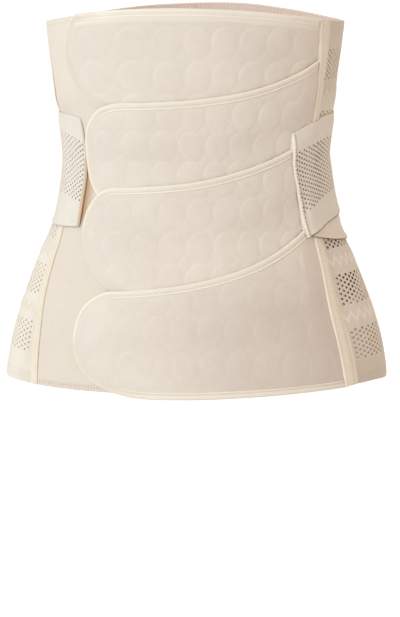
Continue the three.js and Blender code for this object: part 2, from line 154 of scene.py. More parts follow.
# ---- torso surface -----------------------------------------------------------------
half_width, half_depth, centre_y = (curve(SECTIONS[:, 0], SECTIONS[:, k]) for k in (1, 2, 3))
left_seam, right_seam = (curve(SEAMS[:, 0], SEAMS[:, k]) for k in (1, 2))


def ripple(phi, z):
    """Slow unevenness of the cloth on the body and the draw of the straps at the waist, shared by every layer."""
    p = phi * RAD
    drawn = smooth((np.abs(phi) - 56) / 12) * smooth((z + 64) / 14) * smooth((50 - z) / 12)
    narrow = smooth((phi - 56) / 16) * smooth((z - 40) / 35) * smooth((150 - phi) / 40)
    pull = np.where(phi < 0, -1.5, lerp(-0.7, 0.7, smooth((5 - z) / 20)))
    return (pull * drawn - 2.0 * narrow + 0.34 * np.sin(3 * p + z / 43 + 0.4) + 0.26 * np.sin(5 * p - z / 33 + 1.9)
            + 0.18 * np.sin(8 * p + z / 27 + 3.1) + 0.14 * np.sin(11 * p - z / 21 + 0.7))


def body(phi, z, offset):
    phi, z, offset = np.broadcast_arrays(np.asarray(phi, float), np.asarray(z, float), np.asarray(offset, float))
    s, c, h = np.sin(phi * RAD), np.cos(phi * RAD), 0.5
    a, b = half_width(z), half_depth(z)
    da = (half_width(z + h) - half_width(z - h)) / (2 * h)
    db = (half_depth(z + h) - half_depth(z - h)) / (2 * h)
    dc = (centre_y(z + h) - centre_y(z - h)) / (2 * h)
    normal = np.stack([b * s, -a * c, a * c * (dc - db * c) - b * s * da * s], -1)
    normal /= np.linalg.norm(normal, axis=-1, keepdims=True)
    skin = np.stack([a * s, centre_y(z) - b * c, z], -1)
    return skin + normal * (offset + ripple(phi, z))[..., None]


def mm_per_degree(phi, z):
    return RAD * np.hypot(half_width(z) * np.cos(phi * RAD), half_depth(z) * np.sin(phi * RAD))


ARC_PHI = np.linspace(-180, 180, 1441)
ARC_MM = np.concatenate([[0], np.cumsum(mm_per_degree((ARC_PHI[1:] + ARC_PHI[:-1]) / 2, -40.0) * 0.25)])


def arc(phi):
    """Millimetres round the body at one height, for the weave."""
    return np.interp(phi, ARC_PHI, ARC_MM)


def top_edge(phi):
    front = 114.3 + 12 * np.cos((phi + 8) * RAD) ** 2
    back = 114.3 + 12.3 * np.abs(np.cos((phi - 183) * RAD)) ** 3
    turn = np.where(phi < -90, phi + 360, phi)
    high = 3.3 * smooth((turn - 85) / 55) * smooth((192 - turn) / 40)
    return lerp(front, back, smooth((np.abs(phi) - 80) / 20)) + high


def hem_dip(phi):
    """How far the hem hangs down round the sides."""
    return np.where(phi > 0, 3.2, 1.8) * np.exp(-((np.abs(phi) - 85) / 13) ** 2)


# ---- mesh making ---------------------------------------------------------------------
class Cloth:
    """Quads of one piece. Each vertex also keeps its place on the cloth in millimetres and a tone."""

    def __init__(self):
        self.co, self.at, self.quads, self.mats, self.count = [], [], [], [], 0

    def add(self, co, at, quads, mat=0):
        co = np.asarray(co, float).reshape(-1, 3)
        quads = np.asarray(quads).reshape(-1, 4)
        self.co.append(co)
        self.at.append(np.asarray(at, float).reshape(-1, 3))
        self.quads.append(quads + self.count)
        self.mats.append(np.full(len(quads), mat))
        self.count += len(co)

    def make(self, name, materials, node, angle=52):
        co, at = np.concatenate(self.co) * 0.001, np.concatenate(self.at)
        quads, mats = np.concatenate(self.quads), np.concatenate(self.mats)
        used = np.zeros(len(co), bool)
        used[quads] = True
        new = np.cumsum(used) - 1
        co, at, quads = co[used], at[used], new[quads]
        me = bpy.data.meshes.new(name)
        me.vertices.add(len(co))
        me.vertices.foreach_set("co", co.astype(np.float32).ravel())
        me.loops.add(len(quads) * 4)
        me.loops.foreach_set("vertex_index", quads.astype(np.int32).ravel())
        me.polygons.add(len(quads))
        me.polygons.foreach_set("loop_start", np.arange(0, len(quads) * 4, 4, dtype=np.int32))
        me.polygons.foreach_set("material_index", mats.astype(np.int32))
        me.update(calc_edges=True)
        place = me.attributes.new("cloth", "FLOAT_VECTOR", "POINT")
        place.data.foreach_set("vector", at.astype(np.float32).ravel())
        for m in materials:
            me.materials.append(m)
        bm = bmesh.new()
        bm.from_mesh(me)
        bmesh.ops.recalc_face_normals(bm, faces=bm.faces)
        bm.to_mesh(me)
        bm.free()
        me.polygons.foreach_set("use_smooth", np.ones(len(me.polygons), bool))
        me.set_sharp_from_angle(angle=math.radians(angle))
        me.update()
        ob = bpy.data.objects.new(name, me)
        bpy.context.scene.collection.objects.link(ob)
        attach(ob, "root")
        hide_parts(node)
        return ob


def grid_quads(index):
    return np.stack([index[:-1, :-1], index[1:, :-1], index[1:, 1:], index[:-1, 1:]], -1).reshape(-1, 4)


def side_quads(outer, inner):
    """Walls along the four borders of two matching grids."""
    out = []
    for o, i in ((outer[:, 0], inner[:, 0]), (outer[:, -1], inner[:, -1]),
                 (outer[0], inner[0]), (outer[-1], inner[-1])):
        out.append(np.stack([o[:-1], o[1:], i[1:], i[:-1]], -1))
    return np.concatenate(out)


def place_on(phi, z, tone):
    phi, z, tone = np.broadcast_arrays(phi, z, tone)
    return np.stack([arc(phi), z, tone], -1)


def sheet_grid(cloth, phi, z, inside, outside, mat=0, tone=0.0, inner_tone=0.0):
    """Closed sheet between two offsets over a grid of places."""
    n, m = phi.shape
    co = np.stack([body(phi, z, outside), body(phi, z, inside)])
    at = np.stack([place_on(phi, z, tone), place_on(phi, z, inner_tone)])
    index = np.arange(2 * n * m).reshape(2, n, m)
    quads = np.concatenate([grid_quads(index[0]), grid_quads(index[1])[:, ::-1], side_quads(index[0], index[1])])
    cloth.add(co, at, quads, mat)


RING = ((2, 1), (2, 2), (1, 2), (0, 2), (0, 1), (0, 0), (1, 0), (2, 0))


def perforated_grid(cloth, phi, z, inside, outside, blocks, rx, rz, mat=0, tone=0.0, walls=0):
    """Closed sheet with a round hole through each named 2 x 2 block of the grid."""
    n, m = phi.shape
    inside, outside, tone = (np.broadcast_to(v, phi.shape) for v in (inside, outside, tone))
    size = n * m
    flat = np.arange(size).reshape(n, m)
    opened = np.zeros((n - 1, m - 1), bool)
    bi, bj = blocks[:, 0], blocks[:, 1]
    for a in (0, 1):
        for b in (0, 1):
            opened[bi + a, bj + b] = True
    keep = ~opened.ravel()
    faces = grid_quads(flat)[keep]
    border = np.stack([flat[bi + a, bj + b] for a, b in RING], 1)
    cp, cz = phi[bi + 1, bj + 1], z[bi + 1, bj + 1]
    th = np.arange(8) * math.pi / 4
    wide = np.broadcast_to(rx, cp.shape) / mm_per_degree(cp, cz)
    hp = cp[:, None] + wide[:, None] * np.cos(th)
    hz = cz[:, None] + np.broadcast_to(rz, cp.shape)[:, None] * np.sin(th)
    ho, hi = outside[bi + 1, bj + 1][:, None], inside[bi + 1, bj + 1][:, None]
    k = len(blocks)
    ring = np.arange(8 * k).reshape(k, 8)
    nxt = np.roll(np.arange(8), -1)
    co = np.concatenate([
        body(phi, z, outside).reshape(-1, 3), body(phi, z, inside).reshape(-1, 3),
        body(hp, hz, ho - 0.16).reshape(-1, 3), body(hp, hz, hi + 0.16).reshape(-1, 3)])
    at = np.concatenate([
        place_on(phi, z, tone).reshape(-1, 3), place_on(phi, z, 0.0).reshape(-1, 3),
        place_on(hp, hz, 0.0).reshape(-1, 3), place_on(hp, hz, 0.0).reshape(-1, 3)])
    ro, ri = ring + 2 * size, ring + 2 * size + 8 * k
    quads = [faces, faces[:, ::-1] + size, side_quads(flat, flat + size)]
    quads.append(np.stack([border, border[:, nxt], ro[:, nxt], ro], -1).reshape(-1, 4))
    quads.append(np.stack([border + size, border[:, nxt] + size, ri[:, nxt], ri], -1).reshape(-1, 4)[:, ::-1])
    quads.append(np.stack([ro, ro[:, nxt], ri[:, nxt], ri], -1).reshape(-1, 4))
    quads = np.concatenate(quads)
    mats = np.full(len(quads), mat)
    mats[-8 * k:] = np.repeat(np.broadcast_to(walls, k), 8)
    cloth.add(co, at, quads, mats)


def rounded(distance, radius, least=0.22):
    """Share of the thickness left at a distance from a free edge."""
    t = 1 - np.clip(distance / radius, 0, 1)
    return np.maximum(least, np.sqrt(1 - t * t))


def sweep(cloth, phi, z, along, inward, base, profile, mat=0, scale=1.0, tone=0.0, stretch=1.0, foot=None):
    """Closed profile of (in from the edge, height over base) points swept along a path of places."""
    s, h = np.array(profile, float).T
    n, m = len(phi), len(s)
    per = mm_per_degree(phi, z)
    p = phi[:, None] + inward[:, :1] * s * stretch / per[:, None]
    v = z[:, None] + inward[:, 1:] * s * stretch
    scale = np.broadcast_to(scale, phi.shape)[:, None] if np.ndim(scale) < 2 else scale
    away = base(p, v) + h * scale
    if foot:
        low = np.minimum(foot(p, v), base(p, v) - 0.5)
        away = np.where(h < 0, lerp(base(p, v), low, np.clip(-h / 1.06, 0, 1)), away)
    co = body(p, v, away)
    at = np.stack([np.broadcast_to(along[:, None], p.shape), np.broadcast_to(s, p.shape), np.broadcast_to(tone, p.shape)], -1)
    index = np.arange(n * m).reshape(n, m)
    around = np.concatenate([index, index[:, :1]], 1)
    quads = [grid_quads(around)]
    half = m // 2
    for row in (index[0], index[-1]):  # caps, between the two runs of the profile
        a, b = row[:half], row[::-1][:half]
        quads.append(np.stack([a[:-1], a[1:], b[1:], b[:-1]], -1))
    cloth.add(co, at, np.concatenate(quads), mat)


def resample(phi, z, step):
    """The same path of places with even steps in millimetres, and the length so far."""
    per = mm_per_degree((phi[1:] + phi[:-1]) / 2, (z[1:] + z[:-1]) / 2)
    run = np.concatenate([[0], np.cumsum(np.hypot(np.diff(phi) * per, np.diff(z)))])
    t = np.linspace(0, run[-1], max(2, int(round(run[-1] / step)) + 1))
    return np.interp(t, run, phi), np.interp(t, run, z), t


SIDES = 6


def stitches(cloth, phi, z, offset, mat, length=2.5, gap=0.9, radius=0.27, sink=0.06):
    """Row of thread stitches along a path of places."""
    phi, z, offset = np.broadcast_arrays(np.asarray(phi, float), np.asarray(z, float), np.asarray(offset, float))
    line = body(phi, z, offset)
    run = np.concatenate([[0], np.cumsum(np.linalg.norm(np.diff(line, axis=0), axis=1))])
    count = int(run[-1] // (length + gap))
    if count < 1:
        return
    start = (np.arange(count) + 0.5) * run[-1] / count - length / 2
    ends = np.stack([start, start + length / 2, start + length], 1)
    p, v, d = (np.interp(ends, run, w) for w in (phi, z, offset))
    threads(cloth, p, v, d, mat, radius, sink)


def threads(cloth, p, v, d, mat, radius=0.27, sink=0.06):
    """One short thread over each row of three places."""
    lift = np.array([-sink, 0.10, -sink])
    mid, out = body(p, v, d + lift), body(p, v, d + lift + 1.0)
    normal = out - mid
    normal /= np.linalg.norm(normal, axis=-1, keepdims=True)
    tangent = (mid[:, 2] - mid[:, 0])[:, None]
    tangent = tangent / np.linalg.norm(tangent, axis=-1, keepdims=True)
    side = np.cross(normal, tangent)
    th = np.arange(SIDES) * 2 * math.pi / SIDES
    r = radius * np.array([0.5, 1.0, 0.5])[:, None, None]
    ring = mid[:, :, None] + r * (np.cos(th)[:, None] * side[:, :, None] + 0.85 * np.sin(th)[:, None] * normal[:, :, None])
    count = len(p)
    index = np.arange(count * 3 * SIDES).reshape(count, 3, SIDES)
    nxt = np.roll(np.arange(SIDES), -1)
    quads = []
    for k in (0, 1):
        a, b = index[:, k], index[:, k + 1]
        quads.append(np.stack([a, a[:, nxt], b[:, nxt], b], -1).reshape(-1, 4))
    for k in (0, 2):
        e = index[:, k]
        quads.append(e[:, [0, 1, 2, 3]])
        quads.append(e[:, [0, 3, 4, 5]])
    at = np.broadcast_to(np.stack([arc(p), v, np.zeros_like(p)], -1)[:, :, None], ring.shape)
    cloth.add(ring, at, np.concatenate(quads), mat)


# ---- materials --------------------------------------------------------------------------
def lin(r, g, b):
    return tuple((c / 255 / 12.92 if c / 255 <= 0.04045 else ((c / 255 + 0.055) / 1.055) ** 2.4) for c in (r, g, b)) + (1.0,)


def fabric(name, light, dark, thread=0.9, bump=0.35, fuzz=0.5, mottle=0.5, rough=0.88, sheen=0.25, rib=0.0, painted_shade=None):
    """Procedural cloth: woven or knitted threads, brushed fuzz and slow mottling, lightened or darkened by a tone per
    vertex which carries painted highlights and painted shade. A tone below -1 mixes in the given colour of painted
    shade, for folds, gaps and edges in shade."""
    m = bpy.data.materials.new(name)
    m.use_nodes = True
    nt = m.node_tree
    nt.nodes.clear()
    new, link = nt.nodes.new, nt.links.new

    def maths(op, a, b=None, c=None):
        n = new("ShaderNodeMath")
        n.operation = op
        for i, v in enumerate((a, b, c)):
            if v is None:
                continue
            if isinstance(v, (int, float)):
                n.inputs[i].default_value = v
            else:
                link(v, n.inputs[i])
        return n.outputs[0]

    place = new("ShaderNodeAttribute")
    place.attribute_type = "GEOMETRY"
    place.attribute_name = "cloth"
    xyz = new("ShaderNodeSeparateXYZ")
    link(place.outputs["Vector"], xyz.inputs[0])
    u, v, tone = xyz.outputs

    coords = new("ShaderNodeTexCoord")
    scaled = new("ShaderNodeVectorMath")
    scaled.operation = "SCALE"
    link(coords.outputs["Object"], scaled.inputs[0])
    scaled.inputs["Scale"].default_value = 1000.0

    def noise(scale, detail=2.0, roughness=0.5):
        n = new("ShaderNodeTexNoise")
        link(scaled.outputs[0], n.inputs["Vector"])
        n.inputs["Scale"].default_value = scale
        n.inputs["Detail"].default_value = detail
        n.inputs["Roughness"].default_value = roughness
        return n.outputs["Fac"]

    slow, patch, fine = noise(0.018, 3.0), noise(0.11, 3.0), noise(1.35, 3.0, 0.62)

    # threads: wales along v that wander a little, crossed by courses
    wander = maths("MULTIPLY", maths("SUBTRACT", noise(0.5, 1.0), 0.5), 1.4)
    wale = maths("SINE", maths("ADD", maths("MULTIPLY", u, 2 * math.pi / thread), wander))
    course = maths("SINE", maths("ADD", maths("MULTIPLY", v, 2 * math.pi / (thread * 0.86)), maths("MULTIPLY", wale, 1.1)))
    weave = maths("MULTIPLY_ADD", maths("ADD", wale, course), 0.25, 0.5)
    if rib:
        ribs = maths("SINE", maths("MULTIPLY", u, 2 * math.pi / rib))
        weave = maths("MULTIPLY_ADD", ribs, 0.25, weave)
    height = maths("MULTIPLY_ADD", fine, fuzz, weave)

    # colour: slow mottling, patches, thread shading, and the per-vertex tone, which paints highlights and shade
    mix = maths("MULTIPLY", maths("SUBTRACT", slow, 0.5), 1.1 * mottle)
    mix = maths("ADD", mix, maths("MULTIPLY", maths("SUBTRACT", patch, 0.5), 0.7 * mottle))
    mix = maths("ADD", mix, maths("MULTIPLY", maths("SUBTRACT", fine, 0.5), 0.9))
    mix = maths("ADD", mix, maths("MULTIPLY", maths("SUBTRACT", weave, 0.5), 0.35))
    mix = maths("ADD", mix, tone)
    clamp = new("ShaderNodeClamp")
    link(maths("ADD", mix, 0.62), clamp.inputs[0])
    colour = new("ShaderNodeMix")
    colour.data_type = "RGBA"
    link(clamp.outputs[0], colour.inputs["Factor"])
    colour.inputs["A"].default_value = dark
    colour.inputs["B"].default_value = light

    result = colour.outputs["Result"]
    # painted shade: a tone below -1 mixes in the shade colour
    if painted_shade:
        deep = new("ShaderNodeClamp")
        link(maths("SUBTRACT", -1.0, tone), deep.inputs[0])
        shade = new("ShaderNodeMix")
        shade.data_type = "RGBA"
        link(deep.outputs[0], shade.inputs["Factor"])
        link(result, shade.inputs["A"])
        shade.inputs["B"].default_value = painted_shade
        result = shade.outputs["Result"]

    bs = new("ShaderNodeBsdfPrincipled")
    link(result, bs.inputs["Base Color"])
    link(maths("MULTIPLY_ADD", fine, 0.16, rough - 0.08), bs.inputs["Roughness"])
    bs.inputs["Sheen Weight"].default_value = sheen
    bs.inputs["Sheen Roughness"].default_value = 0.45
    bs.inputs["Sheen Tint"].default_value = (1.0, 0.97, 0.93, 1.0)
    bs.inputs["Specular IOR Level"].default_value = 0.25
    bp = new("ShaderNodeBump")
    bp.inputs["Strength"].default_value = bump
    bp.inputs["Distance"].default_value = 0.00018
    link(height, bp.inputs["Height"])
    link(bp.outputs[0], bs.inputs["Normal"])
    out = new("ShaderNodeOutputMaterial")
    link(bs.outputs[0], out.inputs[0])
    return m


FRONT = fabric("front_cloth", lin(236, 225, 213), lin(218, 204, 191), thread=0.8, mottle=0.4, painted_shade=lin(196, 146, 102))
ELASTIC = fabric("elastic_mesh", lin(240, 232, 221), lin(217, 205, 191), thread=1.0, bump=0.5, fuzz=0.35)
ZIGZAG = fabric("elastic_zigzag", lin(248, 241, 231), lin(234, 224, 211), thread=0.7, bump=0.5, fuzz=0.2, rough=0.78, sheen=0.15)
QUILT = fabric("quilted_cloth", lin(239, 229, 219), lin(218, 204, 194), thread=0.75, mottle=0.55, fuzz=0.7)
# painted light: the base cloth is a paler copy of the front cloth, to make up for the shade it lies in under the right
# strap; its shade colour paints its lower edge dark
BASE = fabric("base_cloth", lin(246, 236, 221), lin(230, 217, 202), thread=0.8, mottle=0.4, painted_shade=lin(122, 84, 58))
BINDING = fabric("binding_cloth", lin(250, 241, 229), lin(231, 219, 205), thread=0.7, bump=0.5, fuzz=0.25, mottle=0.3, rough=0.78, sheen=0.2, rib=2.1, painted_shade=lin(150, 122, 98))
STRAP = fabric("strap_mesh", lin(240, 233, 224), lin(222, 212, 201), thread=0.9, bump=0.45, fuzz=0.35, painted_shade=lin(100, 72, 54))
STRAP_HEM = fabric("strap_hem_cloth", lin(238, 230, 218), lin(220, 209, 195), thread=0.7, bump=0.5, fuzz=0.25, rough=0.8, sheen=0.2, painted_shade=lin(214, 182, 144))
TAPE = fabric("tape_cloth", lin(253, 243, 228), lin(214, 199, 179), thread=0.7, bump=0.5, fuzz=0.25, mottle=0.25, rough=0.8, sheen=0.2)
THREAD = fabric("thread", lin(242, 233, 220), lin(224, 210, 195), thread=0.35, bump=0.4, fuzz=0.2, rough=0.75, sheen=0.1)
OVERLOCK = fabric("overlock_thread", lin(246, 228, 219), lin(230, 208, 199), thread=0.35, bump=0.4, fuzz=0.2, rough=0.8, sheen=0.1)
GROUND = fabric("overlock_ground", lin(233, 211, 203), lin(213, 187, 180), thread=0.35, bump=0.4, fuzz=0.2, rough=0.85, sheen=0.1)
HEM_RIB = fabric("hem_rib_thread", lin(226, 209, 197), lin(204, 185, 172), thread=0.35, bump=0.4, fuzz=0.2, rough=0.8, sheen=0.1)
# hole walls are painted shade, from deep brown to faint, standing for the shade inside the small holes
HOLE_SHADE_DEEP = fabric("hole_painted_shade_deep", lin(96, 64, 47), lin(66, 42, 31), thread=0.5, bump=0.2, fuzz=0.2, rough=0.95, sheen=0.0)
HOLE_SHADE = fabric("hole_wall_painted_shade", lin(224, 200, 176), lin(200, 175, 151), thread=0.5, bump=0.2, fuzz=0.2, rough=0.95, sheen=0.0)
HOLE_SHADE_MID = fabric("hole_painted_shade_mid", lin(218, 196, 174), lin(190, 168, 147), thread=0.5, bump=0.2, fuzz=0.2, rough=0.95, sheen=0.0)
HOLE_SHADE_PALE = fabric("hole_painted_shade_pale", lin(234, 221, 203), lin(212, 198, 179), thread=0.5, bump=0.2, fuzz=0.2, rough=0.95, sheen=0.0)

HOLE_SHADE_FAINT = fabric("hole_painted_shade_faint", lin(240, 228, 210), lin(221, 207, 188), thread=0.5, bump=0.2, fuzz=0.2, rough=0.95, sheen=0.0)


# ---- belts: edges and offsets -------------------------------------------------------------
def belt_top(k):
    return (lambda phi: top_edge(phi) + 0.6) if k == 0 else curve(EDGES[:, 0], EDGES[:, k])


def belt_low(k):
    return curve(EDGES[:, 0], EDGES[:, 4 + k])


TOPS, LOWS = [belt_top(k) for k in range(4)], [belt_low(k) for k in range(4)]


def bulge(t, power):
    return (1 - np.clip(t, 0, 1) ** power) ** (1 / power)


def round_top(k, phi):
    left, span, drop, power = BELTS[k][:4]
    start = left + span
    return np.where(phi >= start, TOPS[k](np.maximum(phi, start)), TOPS[k](start) - drop * (1 - bulge((start - phi) / span, power)))


def round_low(k, phi):
    left, span, rise, power = BELTS[k][0], *BELTS[k][4:]
    start = left + span
    return np.where(phi >= start, LOWS[k](np.maximum(phi, start)), LOWS[k](start) + rise * (1 - bulge((start - phi) / span, power)))


def squeeze(phi, z):
    return lerp(1, SQUEEZE, np.clip((phi - right_seam(z) + SQUEEZE_FROM) / (SQUEEZE_FROM + 1.5), 0, 1))


LIFT_FROM = (0, -48, -48, -36)    # where each belt starts to climb over the end of the one above


def belt_inside(k, phi, z):
    t = (z - LOWS[k](phi)) / (TOPS[k](phi) - LOWS[k](phi))
    base = LAYER_1 if k == 0 else lerp(LAYER_1, LAYER_2, smooth((t - 0.36) / 0.32) * smooth((phi - LIFT_FROM[k]) / 8))
    base = base - 0.28 * end_value(NEAR, k, phi, z)
    return WALL + PRESSED_GAP + (base - WALL - PRESSED_GAP) * squeeze(phi, z)


def belt_outside(k, phi, z):
    return belt_inside(k, phi, z) + BELT * squeeze(phi, z) * end_value(THIN, k, phi, z)


def edge_path(k, step=1.2):
    """The bound edge of a belt: along the top to the free end, round it and on along the lower corner."""
    left, low_span = BELTS[k][0], BELTS[k][4]
    end = 50.0
    for _ in range(6):
        end = lerp(44, right_seam(TOPS[k](end)) + 1.5, 0.67)
    a = np.linspace(end, left, 5000)
    stop = left + low_span
    if k == 3:
        stop = 50.0
        for _ in range(6):
            stop = lerp(44, right_seam(LOWS[k](stop)) + 1.5, 0.67)
    b = np.linspace(left, stop, 5000)
    za, zb = round_top(k, a), round_low(k, b)
    mid = np.linspace(za[-1], zb[0], 40)[1:-1]
    phi = np.concatenate([a, np.full(len(mid), left), b])
    z = np.concatenate([za, mid, zb])
    phi, z, _ = resample(phi, z, step)
    phi, z = blur(phi, 2.0), blur(z, 2.0)
    phi, z, run = resample(phi, z, step)
    return phi, z, run


def inward_of(phi, z):
    per = mm_per_degree(phi, z)
    t = np.stack([np.gradient(phi) * per, np.gradient(z)], -1)
    t /= np.linalg.norm(t, axis=1, keepdims=True)
    return np.stack([-t[:, 1], t[:, 0]], -1)


PATHS = [edge_path(k) for k in range(4)]


# ---- quilting: rows of round pillows on one straight grid ------------------------------------
PILLOW_TALL = 13.3
QUILT_ROWS = [  # each belt: height of a row at the front middle, its fall at 40 degrees, and the angles of its pillows
    [(99.7, 0.9, (-77, -59.5, -41.3, -23.8, -10.7, 0.8, 10.6, 21.3, 32.7, 45.1, 58)),
     (72.1, 1.2, (-77, -60, -42.0, -23.9, -10.3, 0.8, 11.0, 21.4, 32.3, 44.3, 57)),
     (45.2, 1.4, (-60, -41.1, -23.9, -10.6, 0.8, 11.4, 22.0, 33, 45))],
    [(92.5, 1.2, (6, 17, 28, 39, 51, 63)),
     (65.6, 1.3, (-36, -22, -10.4, -0.9, 7.5, 17.5, 28.1, 39.1, 51, 63)),
     (40.2, 1.4, (-66, -50.5, -35.8, -21.9, -10.3, -0.9, 8.7, 19.2, 30.1, 41.1, 53)),
     (15.2, 1.6, (-70, -55, -39.7, -24.8, -13.2, -1.9, 8.8, 18.3, 29.2, 40.4, 53)),
     (-9.9, 1.8, (-66, -51, -37.2, -24.1, -13.5, -2.3, 8.0, 17.8, 28.5, 40)),
     (-36.0, 1.8, (-24, -13.5, -2.3, 8.0, 17.8, 28.5))],
    [(12.5, 1.8, (22, 32, 42, 53, 64)),
     (-13.6, 2.2, (-32, -20, -9.2, 1.5, 11.5, 22.0, 32.8, 42.5, 53)),
     (-40.3, 2.4, (-56, -44, -31.9, -19.9, -9.2, 1.6, 11.6, 21.9, 31.6, 41.3, 52)),
     (-68.8, 2.8, (-56, -43.5, -31.2, -18.9, -8.9, 1.5, 10.9, 19.8, 28.4, 38, 49)),
     (-94.8, 3.0, (-50, -39, -28.0, -17.6, -8.8, 0.7, 9.3, 18.5, 28))],
    [(-30.0, 3.0, (30, 41, 52, 63)),
     (-56.5, 3.4, (12, 22, 32.4, 42.6, 53)),
     (-83.0, 3.6, (-6, 3, 12.8, 23.2, 33.3, 42.8, 53)),
     (-110.2, 4.0, (-40, -30.5, -21, -12, -4, 2.9, 11.8, 21.0, 30.5, 40.2, 50)),
     (-137.3, 4.8, (-50.5, -40.6, -30.8, -21.0, -11.9, -3.8, 4.5, 12.9, 21.9, 31.2, 40.9, 51)),
     (-165.4, 5.0, (-46.5, -37.4, -28.4, -19.6, -10.8, -3.1, 4.9, 12.8, 21.2, 30.5, 39.6, 49.5))]]


def quilting(k, phi, z):
    """Height of the low padded pillows over a belt's face, and a painted tone: painted highlight on the rims that face
    up and to the left, towards the light, and painted shade in the sunk outline.
    """
    best, tall, facing = np.full(phi.shape, 1e9), np.ones(phi.shape), np.zeros(phi.shape)
    for height, fall, angles in QUILT_ROWS[k]:
        for i, p in enumerate(angles):
            gaps = [abs(angles[j] - p) for j in (i - 1, i + 1) if 0 <= j < len(angles)]
            wide = 0.488 * sum(gaps) / len(gaps) * rng.uniform(0.97, 1.02)
            up = height - fall * (p / 40) ** 2 + rng.normal(0, 0.3)
            x = np.hypot((phi - p) / wide, (z - up) / PILLOW_TALL)
            near = x < best
            best[near], tall[near] = x[near], rng.uniform(0.85, 1.12)
            facing[near] = (0.8 * (z - up) / PILLOW_TALL - 0.6 * (phi - p) / wide)[near] / np.maximum(x[near], 1e-6)
    dome = np.clip(1 - best ** 4.4, 0, 1) * tall
    groove = np.exp(-((best - 1) / 0.075) ** 2)
    spare = smooth((best - 1.02) / 0.25)
    # rim: painted highlight where a pillow's rim faces up and to the left; groove: painted shade in the outline
    rim = np.exp(-((best - 0.94) / 0.06) ** 2) * smooth((facing - 0.1) / 0.7)
    padding_share_and_painted_rims = QUILT_SHARE[k]
    return (DOME * dome - 0.09 * groove + 0.18 * spare) * padding_share_and_painted_rims, (0.28 * rim * tall - 0.07 * groove) * padding_share_and_painted_rims


DOME = 0.42
QUILT_SHARE = (0.92, 0.92, 0.82, 0.52)     # how far the padding of each belt stands out


def belt_columns(k, step):
    left = BELTS[k][0]
    fine = left + (44 - left) * np.linspace(0, 1, 8001) ** 1.6
    t, l = round_top(k, fine), round_low(k, fine)
    per = mm_per_degree(fine, (t + l) / 2)
    d = np.diff(fine)
    cost = np.maximum.reduce([per[1:] * d, 0.55 * np.abs(np.diff(t)), 0.55 * np.abs(np.diff(l))])
    run = np.concatenate([[0], np.cumsum(cost)])
    return np.interp(np.linspace(0, run[-1], int(run[-1] / step)), run, fine)


def belt_grid(k, step=1.25):
    cols = belt_columns(k, step)
    tall = float(np.max(round_top(k, cols) - round_low(k, cols)))
    m = int(tall / step)
    t = np.concatenate([[0, 0.0025, 0.007], np.linspace(0.014, 0.986, m), [0.993, 0.9975, 1]])
    phi = np.repeat(cols[:, None], len(t), 1)
    z = lerp(round_low(k, phi), round_top(k, phi), t[None])
    tail = []
    for s in np.linspace(0, 1, 14)[1:]:
        p = np.full(len(t), 48.0)
        for _ in range(5):
            v = lerp(round_low(k, p), round_top(k, p), t)
            p = lerp(44, right_seam(v) + 1.5, s)
        tail.append((p, lerp(round_low(k, p), round_top(k, p), t)))
    phi = np.concatenate([phi, [p for p, _ in tail]])
    z = np.concatenate([z, [v for _, v in tail]])
    return phi, z


def path_distance(phi, z, path_phi, path_z):
    per = mm_per_degree(phi, z).ravel()
    out = np.full(phi.size, 1e9)
    p, v = phi.ravel(), z.ravel()
    for i in range(0, len(path_phi), 40):
        dx = (p[:, None] - path_phi[None, i:i + 40]) * per[:, None]
        dz = v[:, None] - path_z[None, i:i + 40]
        out = np.minimum(out, np.sqrt((dx * dx + dz * dz).min(1)))
    return out.reshape(phi.shape)


# Folded binding: a rolled edge, a stitched valley and a low second ridge, with a lip over the edge.
BINDING_PROFILE = [
    (5.45, 0.06), (5.40, 0.30), (5.15, 0.58), (4.75, 0.68), (4.35, 0.56), (3.95, 0.24), (3.60, 0.14), (3.20, 0.20),
    (2.65, 0.46), (2.05, 0.74), (1.35, 0.96), (0.60, 0.98), (-0.05, 0.80), (-0.50, 0.38), (-0.78, -0.30),
    (-0.82, -1.05), (-0.66, -1.70),
    (-0.45, -1.75), (-0.36, -1.10), (-0.34, -0.40), (-0.20, 0.0), (0.10, 0.06), (0.60, 0.06), (1.35, 0.06),
    (2.05, 0.06), (2.65, 0.06), (3.20, 0.06), (3.60, 0.06), (3.95, 0.06), (4.35, 0.06), (4.75, 0.06), (5.15, 0.06),
    (5.30, 0.06), (5.38, 0.06)]
END_RELIEF = (0.26, 0.66, 0.60, 0.60)     # share of the binding's height left at each free end
LOW_RELIEF = (0.07, 0.45, 0.16, 0.08)     # and round its lower corner
END_SHARE = (0.40, 0.66, 0.62, 0.58)      # share of the belt's thickness left there
LOW_SHARE = (0.16, 0.55, 0.24, 0.16)


def end_middle(k):
    return float(round_top(k, np.array(BELTS[k][0])) + round_low(k, np.array(BELTS[k][0]))) / 2


def end_tables(k):
    """How near a place is to the free end of a belt, and how thin the belt is there."""
    left, reach = BELTS[k][0], BELTS[k][4] + 5
    path_phi, path_z, _ = PATHS[k]
    across = np.arange(left - 2, left + reach + 1, 0.5)
    up = np.arange(np.min(path_z) - 6, np.max(path_z) + 6, 1.0)
    phi, z = across[:, None] + 0 * up[None], up[None] + 0 * across[:, None]
    near = (1 - smooth(path_distance(phi, z, path_phi, path_z) / 11)) * smooth((left + reach - phi) / 8)
    share = lerp(END_SHARE[k], LOW_SHARE[k], smooth((end_middle(k) - z) / 14))
    return (across, up, near), (across, up, 1 - (1 - share) * near)


def end_value(tables, k, phi, z):
    across, up, table = tables[k]
    phi, z = np.broadcast_arrays(np.asarray(phi, float), np.asarray(z, float))
    return table_value(table, phi, z, across, up)


NEAR, THIN = zip(*(end_tables(k) for k in range(4)))

